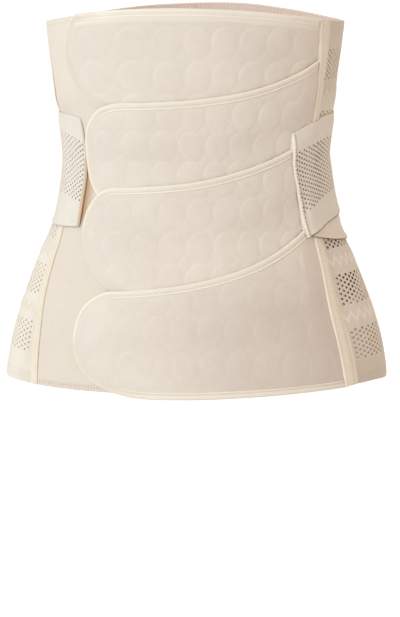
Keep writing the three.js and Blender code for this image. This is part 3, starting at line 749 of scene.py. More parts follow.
belts, bindings = [], []
for k in range(4):
    phi, z = belt_grid(k)
    path_phi, path_z, run = PATHS[k]
    edge = path_distance(phi, z, path_phi, path_z)
    high, padding_share_and_painted_rims = quilting(k, phi, z)
    seam_mm = (right_seam(z) - phi) * mm_per_degree(phi, z)
    fade = smooth((edge - 5.2) / 4.0) * smooth((seam_mm - 8.5) / 7.0)
    if k < 3:  # the next belt presses this one flat where it laps over
        fade = fade * smooth((z - round_top(k + 1, np.maximum(phi, BELTS[k + 1][0])) + 7.0) / 6.0)
    hem = 0.0
    if k == 0:  # a plain turned hem runs along the top
        below = TOPS[0](phi) - z
        fade = fade * smooth((below - 9.5) / 4.0)
        hem = (0.16 * smooth((9.4 - below) / 1.0) - 0.26 * np.exp(-((below - 9.2) / 0.7) ** 2)) * smooth((edge - 5.4) / 2.0) * smooth((seam_mm - 3.0) / 3.0)
    # painted light: the first belt's top hem is painted paler, and the last belt is painted darker towards its lower
    # right (painted shade), for how the light falls there
    painted_light_tone = {0: 0.70 * smooth((9.6 - (TOPS[0](phi) - z)) / 1.0),
           3: -0.55 * smooth((phi + 24) / 55) * smooth((-70 - z) / 60)}.get(k, np.zeros(phi.shape))
    ins, thick = belt_inside(k, phi, z), BELT * squeeze(phi, z) * end_value(THIN, k, phi, z)
    r = rounded(edge, 0.9)
    border = np.minimum(z - round_low(k, phi), round_top(k, phi) - z)
    r = np.minimum(r, rounded(border, 0.9))
    middle = ins + thick / 2
    cloth = Cloth()
    # the tone carries the painted rim highlights and the painted outline shade of the pillows
    sheet_grid(cloth, phi, z, middle - thick / 2 * r, middle + thick / 2 * r + high * fade + hem, 0, padding_share_and_painted_rims * fade + painted_light_tone)
    belts.append(cloth.make(f"quilted_belt_{k + 1}", [QUILT], f"belt_{k + 1}", 70))

    cloth = Cloth()
    inward = inward_of(path_phi, path_z)
    base = lambda p, v, k=k: belt_outside(k, np.maximum(p, BELTS[k][0]), v)
    after = np.arange(len(path_phi)) > np.argmin(path_phi)
    lower = smooth((end_middle(k) - path_z) / 14) * after
    low_relief = lerp(LOW_RELIEF[k], 1, smooth((path_phi + 26) / 14)) if k == 3 else LOW_RELIEF[k]
    relief = lerp(lerp(END_RELIEF[k], 1, smooth((path_phi - BELTS[k][0] - 1.5) / 11)), low_relief, lower)
    relief = squeeze(path_phi, path_z) * relief
    # tone of the binding: darker along its lower corner and at the first belt's free end; along the top the first
    # belt's binding is painted paler, painted light for how the light falls there
    tone = -0.62 * lower if k in (0, 2) else -0.40 * lower * smooth((-12 - path_phi) / 14) if k == 3 else 0 * lower
    if k == 0:
        tone = np.minimum(tone, -0.45 * smooth((-44 - path_phi) / 10)) + 0.35 * smooth((path_phi + 44) / 10) * ~after
    strong = np.clip(relief * 1.4, 0, 1)[:, None]
    # valley: painted highlight on the low second ridge and painted shade in the stitched valley; under: a painted
    # shadow line along the inner edge, towards the right
    valley = np.zeros(len(BINDING_PROFILE))
    valley[2:8] = 0.25, 0.40, 0.25, -0.5, -1.22, -0.5
    under = np.zeros(len(BINDING_PROFILE))
    under[:2] = -1.4
    right = smooth((path_phi - 5) / 25)[:, None]
    # plain: near a free end the binding is toned down to the belt, and the outer ridge gets a painted highlight
    plain = np.zeros(len(BINDING_PROFILE))
    plain[1:10], plain[10:14] = -0.45, 0.2
    bare = smooth((BELTS[k][0] + 20 - path_phi) / 12)[:, None]
    calm = np.maximum(bare, 0.75) if k == 0 else bare
    flat = np.zeros(len(BINDING_PROFILE))
    flat[1:9] = 0.72, 0.74, 0.76, 0.70, 0.40, 0.10, 0.20, 0.15
    sweep(cloth, path_phi, path_z, run, inward, base, BINDING_PROFILE, 0, relief[:, None] * (1 - calm * flat),
          np.maximum(tone[:, None] + plain * bare * (1 - lower[:, None] * (plain > 0)), -0.66) + (valley * (1 - 0.9 * calm) + under * right) * strong)
    per = mm_per_degree(path_phi, path_z)
    sp, sz = path_phi + inward[:, 0] * 3.6 / per, path_z + inward[:, 1] * 3.6
    stitches(cloth, sp, sz, base(sp, sz) + 0.12 * relief, 1, 2.0, 1.4, 0.13)
    bindings.append(cloth.make(f"edge_binding_{k + 1}", [BINDING, THREAD], f"belt_{k + 1}_binding", 60))


# ---- panels ---------------------------------------------------------------------------------
ROW = 2.13                     # half the distance of one hole to the next above it
RIGHT_BANDS = (-155.5, -110.1, -63.0, -17.5, 28.0, 79.3)    # middles of the perforated bands
LEFT_BANDS = (-150.3, -103.0, -56.0, -9.0, 38.0, 85.0)
UNDER_STRAP = (-52, 32)


def panel_rows(bands):
    """Heights of an elastic panel's grid lines up to the top band, and where each band starts."""
    z = list(HEM_Z + np.concatenate([[0, 0.18, 0.5, 1.0], np.linspace(1.9, 12.1, 12)]))
    starts = []
    for middle in bands:
        low = middle - 6.5 * ROW
        z += list(np.linspace(z[-1], low, max(1, int(round((low - z[-1]) / 2.6))) + 1)[1:])
        starts.append(len(z) - 1)
        z += [low + ROW * i for i in range(1, 14)]
    return np.array(z), starts


def top_rows(start, top, count=30):
    f = np.concatenate([np.linspace(0, 0.93, count)[1:], [0.955, 0.975, 0.99, 0.997, 1.0]])
    return start + (top - start) * f


def panel_height(phi, z, down, up):
    """Outside of an elastic panel: folded hems at the top and the bottom with stitched valleys."""
    d = np.full(phi.shape, 1.80)
    d = d + 0.22 * smooth((10.6 - down) / 1.2) - 0.20 * np.exp(-((down - 10.2) / 0.7) ** 2)
    d = d + 0.20 * smooth((12.0 - up) / 1.2) - 0.18 * np.exp(-((up - 9.6) / 0.7) ** 2) - 0.14 * np.exp(-((up - 3.8) / 0.7) ** 2)
    return d


def zigzag(cloth, start, end, middle, outside, mat, tone=0.0, period=9.8, rise=3.7, half=2.4):
    """Raised zigzag ribbon woven along the panel between two angles."""
    length = abs(float(arc(end) - arc(start)))
    n = int(round(length / period)) * 8
    phi = np.interp(np.linspace(arc(start), arc(end), n + 1), ARC_MM, ARC_PHI)
    t = np.arange(n + 1) / 8 % 1
    wave = np.where(t < 0.5, 4 * t - 1, 3 - 4 * t)
    z = middle + rise * wave
    dz = np.array([-half, -half + 0.35, -half * 0.4, half * 0.4, half - 0.35, half, half * 0.4, -half * 0.4])
    lift = np.array([0.02, 0.22, 0.28, 0.28, 0.22, 0.02, -0.10, -0.10])
    if not outside:
        lift = -lift
    base = 1.80 if outside else 0.10
    p, v = np.repeat(phi[:, None], 8, 1), z[:, None] + dz
    co = body(p, v, base + lift)
    at = np.stack([np.broadcast_to(arc(phi)[:, None], p.shape), v, np.full(p.shape, tone)], -1)
    index = np.arange((n + 1) * 8).reshape(n + 1, 8)
    quads = [grid_quads(np.concatenate([index, index[:, :1]], 1))]
    for row in (index[0], index[-1]):
        quads.append(np.array([[row[0], row[1], row[6], row[7]], [row[1], row[2], row[5], row[6]], [row[2], row[3], row[4], row[5]]]))
    cloth.add(co, at, np.concatenate(quads), mat)


def elastic_panel(name, node, start, stop, columns, bands, first, last, rx, rz, walls):
    rows, lows = panel_rows(bands)
    s = np.linspace(0, 1, columns + 1)
    at_top = lerp(start(120.0), stop(120.0), s)
    upper = np.array([top_rows(rows[-1], top_edge(p)) for p in at_top])
    z = np.concatenate([np.repeat(rows[None], columns + 1, 0), upper], 1)
    phi = lerp(start(z), stop(z), s[:, None])
    down, up = top_edge(at_top)[:, None] - z, z - HEM_Z
    z = z - hem_dip(phi) * smooth((34 - up) / 34)
    outside, inside = panel_height(phi, z, down, up), np.full(phi.shape, 0.10)
    r = rounded(np.minimum(down, up), 0.9)
    middle = (outside + inside) / 2
    outside, inside = lerp(middle, outside, r), lerp(middle, inside, r)
    blocks = []
    for low in lows:
        for m, i in enumerate(range(first, last + 1, 2)):
            for row in range(m % 2, 12, 2):
                blocks.append((i, low + row))
    blocks = np.array(blocks)
    bi, bj = blocks[:, 0] + 1, blocks[:, 1] + 1
    step = (phi[bi + 1, bj] - phi[bi, bj]) * mm_per_degree(phi[bi, bj], z[bi, bj])
    uneven = rng.uniform(0.92, 1.08, len(blocks))
    cloth = Cloth()
    # tone: darker along the top and bottom hems, with painted shade in the stitched valley under the top hem; painted
    # shade towards the bottom of the right side, and darker towards its top; painted light on the lower left side
    tone = -0.30 * smooth((11.0 - down) / 1.0) - 0.25 * np.exp(-((down - 10.2) / 0.9) ** 2) - 0.22 * smooth((11.0 - up) / 1.5) - (0.5 * smooth((-140 - z) / 35) + 0.55 * smooth((z - 40) / 20)) * smooth(phi / 20) * smooth((110 - phi) / 20) + 0.55 * smooth((-60 - phi) / 12) * smooth((-70 - z) / 25)
    perforated_grid(cloth, phi, z, inside, outside, blocks, rx * step * uneven, rz * uneven, 0, tone, walls(phi[bi, bj], z[bi, bj]))
    for lower, higher in zip(bands, bands[1:]):
        mid = (lower + higher) / 2
        a, b = float(start(mid)), float(stop(mid))
        lo, hi = min(a, b), max(a, b)
        if not UNDER_STRAP[0] < mid < UNDER_STRAP[1]:
            zigzag(cloth, lo + 0.6, hi - 0.6, mid, True, 1, -0.75 if mid > 40 else -0.55 if hi < 0 else 0.15)
        zigzag(cloth, lo + 0.6, hi - 0.6, mid, False, 1)
    for height in (3.8, 9.6):
        p = lerp(start(HEM_Z + height), stop(HEM_Z + height), s)
        stitches(cloth, p, HEM_Z + height - hem_dip(p) * smooth((34 - height) / 34), 1.92, 2, 2.5, 0.9, 0.25)
    stitches(cloth, at_top, top_edge(at_top) - 10.2, 1.72, 2, 2.5, 0.9, 0.25)
    # slanting overlock stitches on the inside of the top hem, on a tinted turn-in
    turn = np.linspace(0.0005, 0.9995, columns * 2)
    tp = np.repeat(lerp(at_top[0], at_top[-1], turn)[:, None], 7, 1)
    tz = top_edge(tp) - np.array([6.6, 6.4, 5.4, 4.2, 3.0, 1.8, 1.1])
    sheet_grid(cloth, tp, tz, np.full(tp.shape, 0.01), np.full(tp.shape, 0.09), 8)
    count = int(abs(arc(at_top[-1]) - arc(at_top[0])) / 2.7)
    p = np.interp(np.linspace(0.01, 0.99, count), s, at_top)
    p3 = p[:, None] + np.array([-0.40, 0.0, 0.40])
    v3 = top_edge(p3) - np.array([5.6, 3.9, 2.2])
    threads(cloth, p3, v3, np.full(p3.shape, -0.02), 3, 0.46, 0.0)
    stitches(cloth, at_top, top_edge(at_top) - 6.6, 0.0, 3, 2.2, 0.5, 0.3)
    return cloth.make(name, [ELASTIC, ZIGZAG, THREAD, OVERLOCK, HOLE_SHADE_DEEP, HOLE_SHADE_MID, HOLE_SHADE_PALE, HOLE_SHADE_FAINT, GROUND], node, 58)


def right_walls(phi, z):
    """Deep shade in the holes of the middle bands, paler ones above, below and round the side."""
    deep = ((z > -92) & (z < -40) & (phi < 72)) | ((z > -126) & (z < -92) & (phi < 78 + 0.667 * (z + 96)))
    side = (phi > np.where(z > 20, 70, 76)) & (phi < 104)
    return np.where(deep, 4, np.where(side, 6, 5))


right_panel = elastic_panel("perforated_side_right", "right_elastic_panel",
                            lambda z: right_seam(z), lambda z: 180 - 0.2 / mm_per_degree(180.0, z), 104, RIGHT_BANDS, 4, 98,
                            0.84, 1.10, right_walls)
left_panel = elastic_panel("perforated_side_left", "left_elastic_panel",
                           lambda z: -180 + 0.2 / mm_per_degree(180.0, z), lambda z: left_seam(z) - 0.2 / mm_per_degree(left_seam(z), z), 96, LEFT_BANDS, 4, 90,
                           0.54, 0.84, lambda phi, z: np.full(phi.shape, 7))


def left_front(z):
    """Front end of the left strap."""
    return -51.7 + np.interp(z, (-57, -38, -22, -13, -6, 2, 9, 24, 29, 34), (-1.65, -2.05, -1.75, -1.55, -1.75, -1.5, -1.55, -1.95, -2.35, -3.1))


# plain front panel, under the belts and out to the left seam
rows = np.concatenate([HEM_Z + np.array([0, 0.18, 0.5, 1.0, 2.0, 3.6, 5.4, 7.4, 9.4, 11.4]), np.linspace(-175, 96, 112)])
s = np.concatenate([np.linspace(0, 0.10, 8)[:-1], np.linspace(0.10, 0.27, 38)[:-1], np.linspace(0.27, 1, 60)])
front_start = lambda z: left_seam(z) + 0.2 / mm_per_degree(left_seam(z), z)
at_top = lerp(front_start(120.0), 40.0, s)
upper = np.array([top_rows(96.0, top_edge(p), 24) for p in at_top])
z = np.concatenate([np.repeat(rows[None], len(s), 0), upper], 1)
phi = lerp(front_start(z), 40.0, s[:, None])
down, up = top_edge(at_top)[:, None] - z, z - HEM_Z
outside = 1.80 + 0.16 * smooth((5.0 - down) / 0.8) - 0.22 * np.exp(-((down - 5.0) / 0.7) ** 2)
outside = outside + 0.16 * smooth((11.0 - up) / 1.2) - 0.16 * np.exp(-((up - 10.0) / 0.7) ** 2) - 0.12 * np.exp(-((up - 3.6) / 0.7) ** 2)
inside = np.full(phi.shape, 0.10)
r = rounded(np.minimum(down, up), 0.9)
middle = (outside + inside) / 2
cloth = Cloth()
# painted shadow: warm shade beside the left strap's front end (past, beside); painted light: the upper left of the
# front panel is painted paler
past = phi - left_front(z) - 1.0 * smooth((2 - z) / 10)
beside = (0.34 * smooth((3.0 - past) / 1.6) + 0.34 * smooth((6.0 - past) / 4)) * smooth((past + 4) / 2) * smooth((3 - z) / 8) * smooth((z + 57) / 12)
sheet_grid(cloth, phi, z, lerp(middle, inside, r), lerp(middle, outside, r), 0, -(1 + beside) * np.minimum(1, beside * 8) + 0.5 * smooth((z - 35) / 40) * smooth((-48 - phi) / 12))
for height in (3.6, 10.0):
    stitches(cloth, lerp(front_start(HEM_Z + height), 40.0, s), HEM_Z + height, 1.84, 1, 2.5, 0.9, 0.25)
stitches(cloth, at_top, top_edge(at_top) - 5.0, 1.70, 1, 2.5, 0.9, 0.25)
# overlock stitches along the hem
count = int((arc(40.0) - arc(-54.0)) / 2.1)
p = np.interp(np.linspace(arc(-53.2), arc(-24.0), count // 3), ARC_MM, ARC_PHI)[:, None] + np.array([-0.12, 0.0, 0.12])
v = HEM_Z + np.array([1.0, 3.4, 5.8]) + np.zeros_like(p)
threads(cloth, p, v, np.full(p.shape, 1.98), 2, 0.34, 0.10)
front_panel = cloth.make("front_cloth", [FRONT, THREAD, HEM_RIB], "left_front_panel", 60)


# ---- what lies under the right strap and the seam tape ----------------------------------------
HP, HZ = np.linspace(34, 66, 161), np.linspace(-194, 130, 325)


def belts_height(phi, z):
    """Outermost belt or binding surface at a place, or the panel's where there is none."""
    h = np.full(np.broadcast(phi, z).shape, WALL)
    for k in range(4):
        over = (z >= LOWS[k](phi) - 0.5) & (z <= TOPS[k](phi) + 0.9) & (phi <= right_seam(z) + 1.5)
        bound = (TOPS[k](phi) - z < 6.5) | ((k == 3) & (z - LOWS[k](phi) < 6.5))
        plain = (right_seam(z) - phi) * mm_per_degree(phi, z) < 9
        top = belt_outside(k, phi, z) + np.where(bound, 1.1, np.where(plain, 0.10, 0.55)) * squeeze(phi, z)
        h = np.where(over, np.maximum(h, top), h)
    return h


def widened(h, reach):
    """The largest value within reach grid steps, along the last axis."""
    out = h.copy()
    for k in range(1, reach + 1):
        out[..., k:] = np.maximum(out[..., k:], h[..., :-k])
        out[..., :-k] = np.maximum(out[..., :-k], h[..., k:])
    return out


UNDER = belts_height(HP[:, None], HZ[None])
UNDER = blur(widened(UNDER, 13), 8.0)
UNDER = blur(widened(UNDER.T, 1), 1.2).T


def grid_value(table, phi, z, across=HP, up=HZ):
    return table_value(table, phi, z, across, up)


# ---- seam tapes and back band -------------------------------------------------------------------
tape_left, tape_right = (curve(TAPE_EDGES[:, 0], TAPE_EDGES[:, k]) for k in (1, 2))


def pressed(z):
    """Share of a seam tape's height that is left under the straps."""
    return 1 - 0.45 * smooth((z + 70) / 12) * smooth((40 - z) / 12)


def tape(name, node, across, heights, thickness, seam, top, lift, stitch_at, tone=lambda z: 0 * z, hug=False, columns_step=2.2, stripe=0.0):
    """Sewn strip along a seam: a profile of heights across it, on a lift that follows what lies under it."""
    z0 = np.concatenate([HEM_Z + np.array([0, 0.2, 0.6, 1.2, 2.0]), np.linspace(-186, top - 3.0, int(300 / columns_step)), top - np.array([1.9, 1.1, 0.5, 0.15, 0.0])])
    heights = np.array(heights, float)
    over = across(z0)
    z = np.repeat(z0[None], len(heights), 0)
    base = seam(z)
    phi = base + over / mm_per_degree(base, z)
    low = lift(over, z)
    end = rounded(np.minimum(z - HEM_Z, top - z), 0.8)
    out = low + thickness * heights[:, None] * end * pressed(z)
    if hug:
        low[:2] = np.minimum(low[:2], belts_height(phi[:2], z[:2]) + 0.04)
    cloth = Cloth()
    # edge: painted shade on the left edge of a hugging tape, where its wall faces the light
    edge = np.zeros(z.shape)
    if hug:
        edge[:3] = np.array([-0.40, -0.32, -0.18])[:, None] * smooth((z[:3] + 20) / 40)
    sheet_grid(cloth, phi, z, low, out, 0, tone(z) + edge + np.reshape(stripe, (-1, 1)), edge)
    for i in stitch_at:
        stitches(cloth, phi[i], z0, out[i] + 0.03, 1, 2.6, 0.9, 0.22)
    return cloth.make(name, [TAPE, THREAD], node, 60)


def right_tape_lift(across, z):
    seam = right_seam(z)
    per = mm_per_degree(seam, z)
    here = grid_value(UNDER, seam + np.minimum(across, 1.0) / per, z) + 0.12
    flat = WALL + 0.15
    past = smooth((across - 2.6) / 4.0)
    return lerp(here, flat, past)


def right_tape_across(z):
    """A narrow ridge along the left edge and a wide flat band beside it."""
    a, b = tape_left(z), tape_right(z)
    ridge = np.array([0, 0.12, 0.42, 0.95, 1.7, 2.4, 2.9, 3.3, 3.8])[:, None]
    rest = np.array([0.25, 0.52, 0.60, 0.68, 0.80, 0.92])[:, None]
    last = np.array([1.5, 1.0, 0.5, 0.14, 0.0])[:, None]
    return np.concatenate([a + ridge, a + 3.8 + (b - a - 3.8 - 1.5) * rest, b - last])


def even_across(places):
    return lambda z: np.repeat(np.array(places, float)[:, None], len(z), 1)


right_tape = tape("seam_tape_right", "right_seam_tape", right_tape_across,
                  [0.06, 0.28, 0.56, 0.80, 0.88, 0.80, 0.60, 0.52, 0.64, 0.76, 0.80, 0.60, 0.80, 0.80, 0.78, 0.76, 0.84, 0.74, 0.42, 0.15],
                  1.0, right_seam, float(top_edge(56)), right_tape_lift, (7,), lambda z: lerp(0.22, 0.08, smooth((z + 10) / 50)), True,
                  stripe=[0.0] * 11 + [-0.55] + [-0.06] * 8)
left_tape = tape("seam_tape_left", "left_seam_tape",
                 even_across([-8.2, -8.1, -7.8, -7.2, -6.6, -6.0, -5.4, -4.6, -3.6, -2.8, -2.2, -1.6, -0.9, -0.2, 0.4, 0.7, 0.8]),
                 [0.15, 0.34, 0.50, 0.58, 0.56, 0.52, 0.56, 0.60, 0.62, 0.62, 0.60, 0.58, 0.72, 0.86, 0.80, 0.52, 0.22],
                 1.0, left_seam, float(top_edge(-94)), lambda a, z: np.full(np.broadcast(a, z).shape, WALL + GAP - 0.2), (5, 11))
back_band = tape("back_band", "back_centre_band",
                 even_across([-14, -13.8, -13.2, -12.3, -11.4, -10.7, -9.8, -7.5, -4.0, 0.0, 4.0, 7.5, 9.8, 10.7, 11.4, 12.3, 13.2, 13.8, 14]),
                 [0.3, 0.75, 1.0, 1.06, 0.95, 0.70, 0.84, 0.92, 0.95, 0.96, 0.95, 0.92, 0.84, 0.70, 0.95, 1.06, 1.0, 0.75, 0.3],
                 2.0, lambda z: np.full(np.shape(z), 180.0), float(top_edge(180)) - 0.6,
                 lambda a, z: np.full(np.broadcast(a, z).shape, WALL + GAP), (5, 13))


# ---- straps ----------------------------------------------------------------------------------------
STRAP_THICK, BASE_THICK = 1.1, 0.8
SP, SZ = np.linspace(36, 128, 369), np.linspace(-76, 46, 123)


def right_front(z):
    return 43.7 - 0.0295 * z + np.interp(z, (-62, -52, -44, -36, -28, -20, -12, -2, 10, 18, 26),
                                         (-0.15, -0.05, 0.5, 0.55, -0.05, -0.3, -0.85, -1.2, -1.15, -0.85, -0.5))


def taut(under):
    """The way of a stretched cloth over what lies under it: straight in space between the places that it rests on."""
    out = under.copy()
    for j, z in enumerate(SZ):
        per = mm_per_degree(SP, z)
        s = np.concatenate([[0], np.cumsum((per[1:] + per[:-1]) / 2 * np.diff(SP))])
        bend = half_width(z) * half_depth(z) / (per / RAD) ** 3
        slope = np.concatenate([[0], np.cumsum((bend[1:] + bend[:-1]) / 2 * np.diff(s))])
        rise = np.concatenate([[0], np.cumsum((slope[1:] + slope[:-1]) / 2 * np.diff(s))])
        v = under[:, j] - rise
        hull = []
        for i in range(len(s)):
            while len(hull) > 1 and ((v[hull[-1]] - v[hull[-2]]) * (s[i] - s[hull[-2]])
                                     <= (v[i] - v[hull[-2]]) * (s[hull[-1]] - s[hull[-2]])):
                hull.pop()
            hull.append(i)
        out[:, j] = np.interp(s, s[hull], v[hull]) + rise
    return out


def settle(under):
    """Stretched cloth that also bridges small steps up and down."""
    way = blur(widened(taut(under), 3), 3.5)
    return np.maximum(blur(way.T, 4.0).T, under)


base_top, base_low = lines(RIGHT_BASE, 1), lines(RIGHT_BASE, 2)
strap_low = lines(RIGHT_STRAP, 2)
GP, GZ = SP[:, None] + 0 * SZ[None], SZ[None] + 0 * SP[:, None]
G_ACROSS = (GP - right_seam(GZ)) * mm_per_degree(GP, GZ)
G_UNDER = belts_height(GP, GZ)
TAPED = (G_ACROSS > tape_left(GZ) - 0.6) & (G_ACROSS < tape_right(GZ) + 0.6)
G_UNDER = np.where(TAPED, np.maximum(G_UNDER, right_tape_lift(G_ACROSS, GZ) + 1.15 * pressed(GZ)), G_UNDER)
BASE_WAY = settle(G_UNDER) + 0.14


def base_lift(phi, z):
    """The plain wedge lies on the panel and stands off a little along its lower edge."""
    return grid_value(BASE_WAY, phi, z, SP, SZ) + 0.9 * np.exp(-((z - base_low(phi)) / 4.5) ** 2) * smooth((phi - 50) / 6)


def base_thick(phi, z):
    return BASE_THICK * lerp(1, 0.45, smooth((z - strap_low(phi) - 6) / 20))


BASED = (GP > right_seam(GZ) - 4.5) & (GP < 108.4) & (GZ > base_low(GP) - 0.5) & (GZ < base_top(GP) + 0.5)
LAID = np.where(BASED, np.maximum(G_UNDER, base_lift(GP, GZ) + base_thick(GP, GZ)), G_UNDER)
STRAP_WAY = settle(LAID) + 0.16


TIGHT = blur(widened(blur(widened(G_UNDER, 9), 5.0).T, 4), 2.0).T


def right_lift(phi, z):
    """Close on the belts along the front end, then stretched over what lies under it."""
    stand = 0.9 * np.exp(-((z - strap_low(phi)) / 5.0) ** 2) * smooth((96 - phi) / 20)
    tight = np.minimum(grid_value(TIGHT, phi, z, SP, SZ) + 0.15, grid_value(STRAP_WAY, phi, z, SP, SZ))
    return lerp(tight, grid_value(STRAP_WAY, phi, z, SP, SZ), smooth((phi - right_front(z)) / 5)) + stand * smooth((phi - right_front(z)) / 4)


def strap_rows(table, columns, fractions, passes=6):
    """Places of a strap's grid, from the angle of each column at each height."""
    top, low = lines(table, 1), lines(table, 2)
    fractions = np.atleast_2d(fractions)
    z = np.zeros((len(columns), fractions.shape[1]))
    for _ in range(passes):
        phi = np.stack([c(z[i]) for i, c in enumerate(columns)])
        z = lerp(low(phi), top(phi), fractions)
    phi = np.stack([c(z[i]) for i, c in enumerate(columns)])
    return phi, z


def strap_thick(table, phi, z):
    """Thickness of a strap, which thins towards its upper edge."""
    return STRAP_THICK * lerp(0.36, 1, smooth((lines(table, 1)(phi) - z) / 9))


def strap_columns(front, back, step, widen):
    """Columns that get wider round the side, as shares of the way from the front end to the back."""
    way = np.linspace(0, abs(back - front), 4000)
    cost = 1 / (step * (1 + 0.5 * smooth((abs(front) + way - widen) / 20)))
    run = np.concatenate([[0], np.cumsum((cost[1:] + cost[:-1]) / 2 * np.diff(way))])
    return np.interp(np.linspace(0, run[-1], int(round(run[-1])) + 1), run, way) / way[-1]


def strap(name, node, table, front, back, lift, step, widen, field, rows, shade, holes, facing=1, foot=None):
    """Perforated strap: plain margins, a field of small holes, rounded edges and stitched borders."""
    edge = np.array([0, 0.003, 0.008])
    ends = np.array([0, 0.0012, 0.0034])
    g = np.concatenate([ends, 0.007 + 0.987 * strap_columns(float(front(-10.0)), back, step, widen), [0.998, 1.0]])
    columns = len(g) - 6
    if facing < 0:
        g = 1 - g[::-1]
        cols = [(lambda z, t=t: lerp(back, front(z), t)) for t in g]
    else:
        cols = [(lambda z, t=t: lerp(front(z), back, t)) for t in g]
    f = []
    for c in cols:
        low, high = field(abs(float(c(np.array(-10.0)))))
        f.append(np.concatenate([edge, np.linspace(0.016, low, 10)[:-1], np.linspace(low, high, rows + 1),
                                 np.linspace(high, 0.984, 8)[1:], 1 - edge[::-1]]))
    f = np.array(f)
    phi, z = strap_rows(table, cols, f)
    tall = lines(table, 1)(phi) - lines(table, 2)(phi)
    edge_mm = np.minimum(f, 1 - f) * tall
    per = mm_per_degree(phi, z)
    end_mm = np.abs(phi - front(z)) * per
    r = np.minimum(rounded(edge_mm, 0.6), rounded(end_mm, 0.6))
    low = lift(phi, z)
    roll = 0.12 * np.exp(-((edge_mm - 1.6) / 1.1) ** 2) - 0.12 * np.exp(-((edge_mm - 4.2) / 0.7) ** 2)
    half = strap_thick(table, phi, z) / 2
    outside, inside = low + half + half * r + roll, low + half - half * r
    if foot:
        turned = smooth((1.0 - (1 - f) * tall) / 0.7)
        inside = lerp(inside, np.minimum(inside, foot(phi, z)), turned)
    # tone: a painted shadow line along the strap's lower edge, as strong as shade(phi)
    tone = -(1 + shade(phi)) * smooth((1.15 - f * tall) / 0.5) * np.minimum(1, shade(phi) * 4)
    first = 3 + 9
    blocks = []
    for m, i in enumerate(range(3, columns - 2, 2)):
        i0 = i if facing > 0 else len(g) - 3 - i
        for row in range(m % 2, rows - 1, 2):
            blocks.append((i0, first + row))
    blocks = np.array(blocks)
    bi, bj = blocks[:, 0] + 1, blocks[:, 1] + 1
    wide = np.abs(phi[bi + 1, bj] - phi[bi, bj]) * per[bi, bj]
    uneven = rng.uniform(0.92, 1.08, len(blocks))
    cloth = Cloth()
    near = np.abs(phi[bi, bj]) + rng.normal(0, 2.0, len(blocks)) < holes[2]
    perforated_grid(cloth, phi, z, inside, outside, blocks, holes[3] * wide * uneven, holes[4] * uneven, 0, tone, np.where(near, 2, 3))
    for share in (4.2, -4.2):
        at = (np.where(share > 0, share, tall + share) / tall)[:, 5]
        zz = lerp(lines(table, 2)(phi[:, 5]), lines(table, 1)(phi[:, 5]), at)
        pp = np.array([float(c(np.array(v))) for c, v in zip(cols, zz)])
        zz = lerp(lines(table, 2)(pp), lines(table, 1)(pp), at)
        stitches(cloth, pp, zz, lift(pp, zz) + strap_thick(table, pp, zz) - 0.08, 1, 2.4, 0.9, 0.20)
    return cloth.make(name, [STRAP, THREAD, holes[0], holes[1]], node, 58)


right_strap = strap("perforated_strap_right", "right_strap", RIGHT_STRAP, right_front, 172.4, right_lift, 0.80, 50,
                    lambda a: (np.interp(a, (45, 65), (0.21, 0.24)), np.interp(a, (45, 65), (0.83, 0.80))), 27,
                    lambda phi: smooth((92 - phi) / 12), (HOLE_SHADE, HOLE_SHADE_PALE, 52, 0.67, 0.91), foot=lambda p, v: grid_value(LAID, p, v, SP, SZ) + 0.14)


def left_lift(phi, z):
    """Flat on the panel, over the seam tape, and standing off at the lower front corner."""
    over = (phi - left_seam(z)) * mm_per_degree(phi, z)
    tape_here = smooth((over + 22) / 12) * smooth((10 - over) / 9)
    near = 1 - (-51.7 - phi) / 9.0
    return 2.2 + 0.62 * tape_here + 0.8 * smooth((8 - z) / 58) * smooth(near) + 0.3 * smooth(near)


left_strap = strap("perforated_strap_left", "left_strap", LEFT_STRAP, left_front, -172.4, left_lift, 0.88, 58,
                   lambda a: (np.interp(a, (53, 72), (0.22, 0.28)), np.interp(a, (53, 72), (0.805, 0.845))), 25,
                   lambda phi: 0.3 * smooth((phi + 80) / 10), (HOLE_SHADE_FAINT, HOLE_SHADE_FAINT, 60, 0.64, 0.84), facing=-1)

# plain wedge under the right strap
f = np.concatenate([[0, 0.002, 0.005, 0.009], np.linspace(0.014, 0.988, 40), [0.994, 0.998, 1]])
cols = [(lambda z, t=t: lerp(right_seam(z) - 4, 108.0, t)) for t in np.concatenate([[0, 0.002, 0.006], np.linspace(0.015, 0.985, 44), [0.994, 0.998, 1]])]
phi, z = strap_rows(RIGHT_BASE, cols, f)
tall = base_top(phi) - base_low(phi)
edge_mm = np.minimum(f, 1 - f)[None] * tall
low = base_lift(phi, z)
half = base_thick(phi, z) / 2
r = rounded(edge_mm, 0.5)
out = low + half + half * r + 0.10 * np.exp(-((edge_mm - 1.5) / 1.0) ** 2) - 0.12 * np.exp(-((edge_mm - 3.8) / 0.7) ** 2)
cloth = Cloth()
# painted shadow: a dark line along the base's lower edge
sheet_grid(cloth, phi, z, low + half - half * r, out, 0, -2.0 * smooth((1.0 - f[None] * tall) / 0.4))
zz = base_low(phi[:, 0]) + 3.8
pp = np.array([float(c(np.array(v))) for c, v in zip(cols, zz)])
zz = base_low(pp) + 3.8
stitches(cloth, pp, zz, base_lift(pp, zz) + BASE_THICK - 0.08, 1, 2.4, 0.9, 0.20)
right_base = cloth.make("strap_base_right", [BASE, THREAD], "right_strap_base", 60)

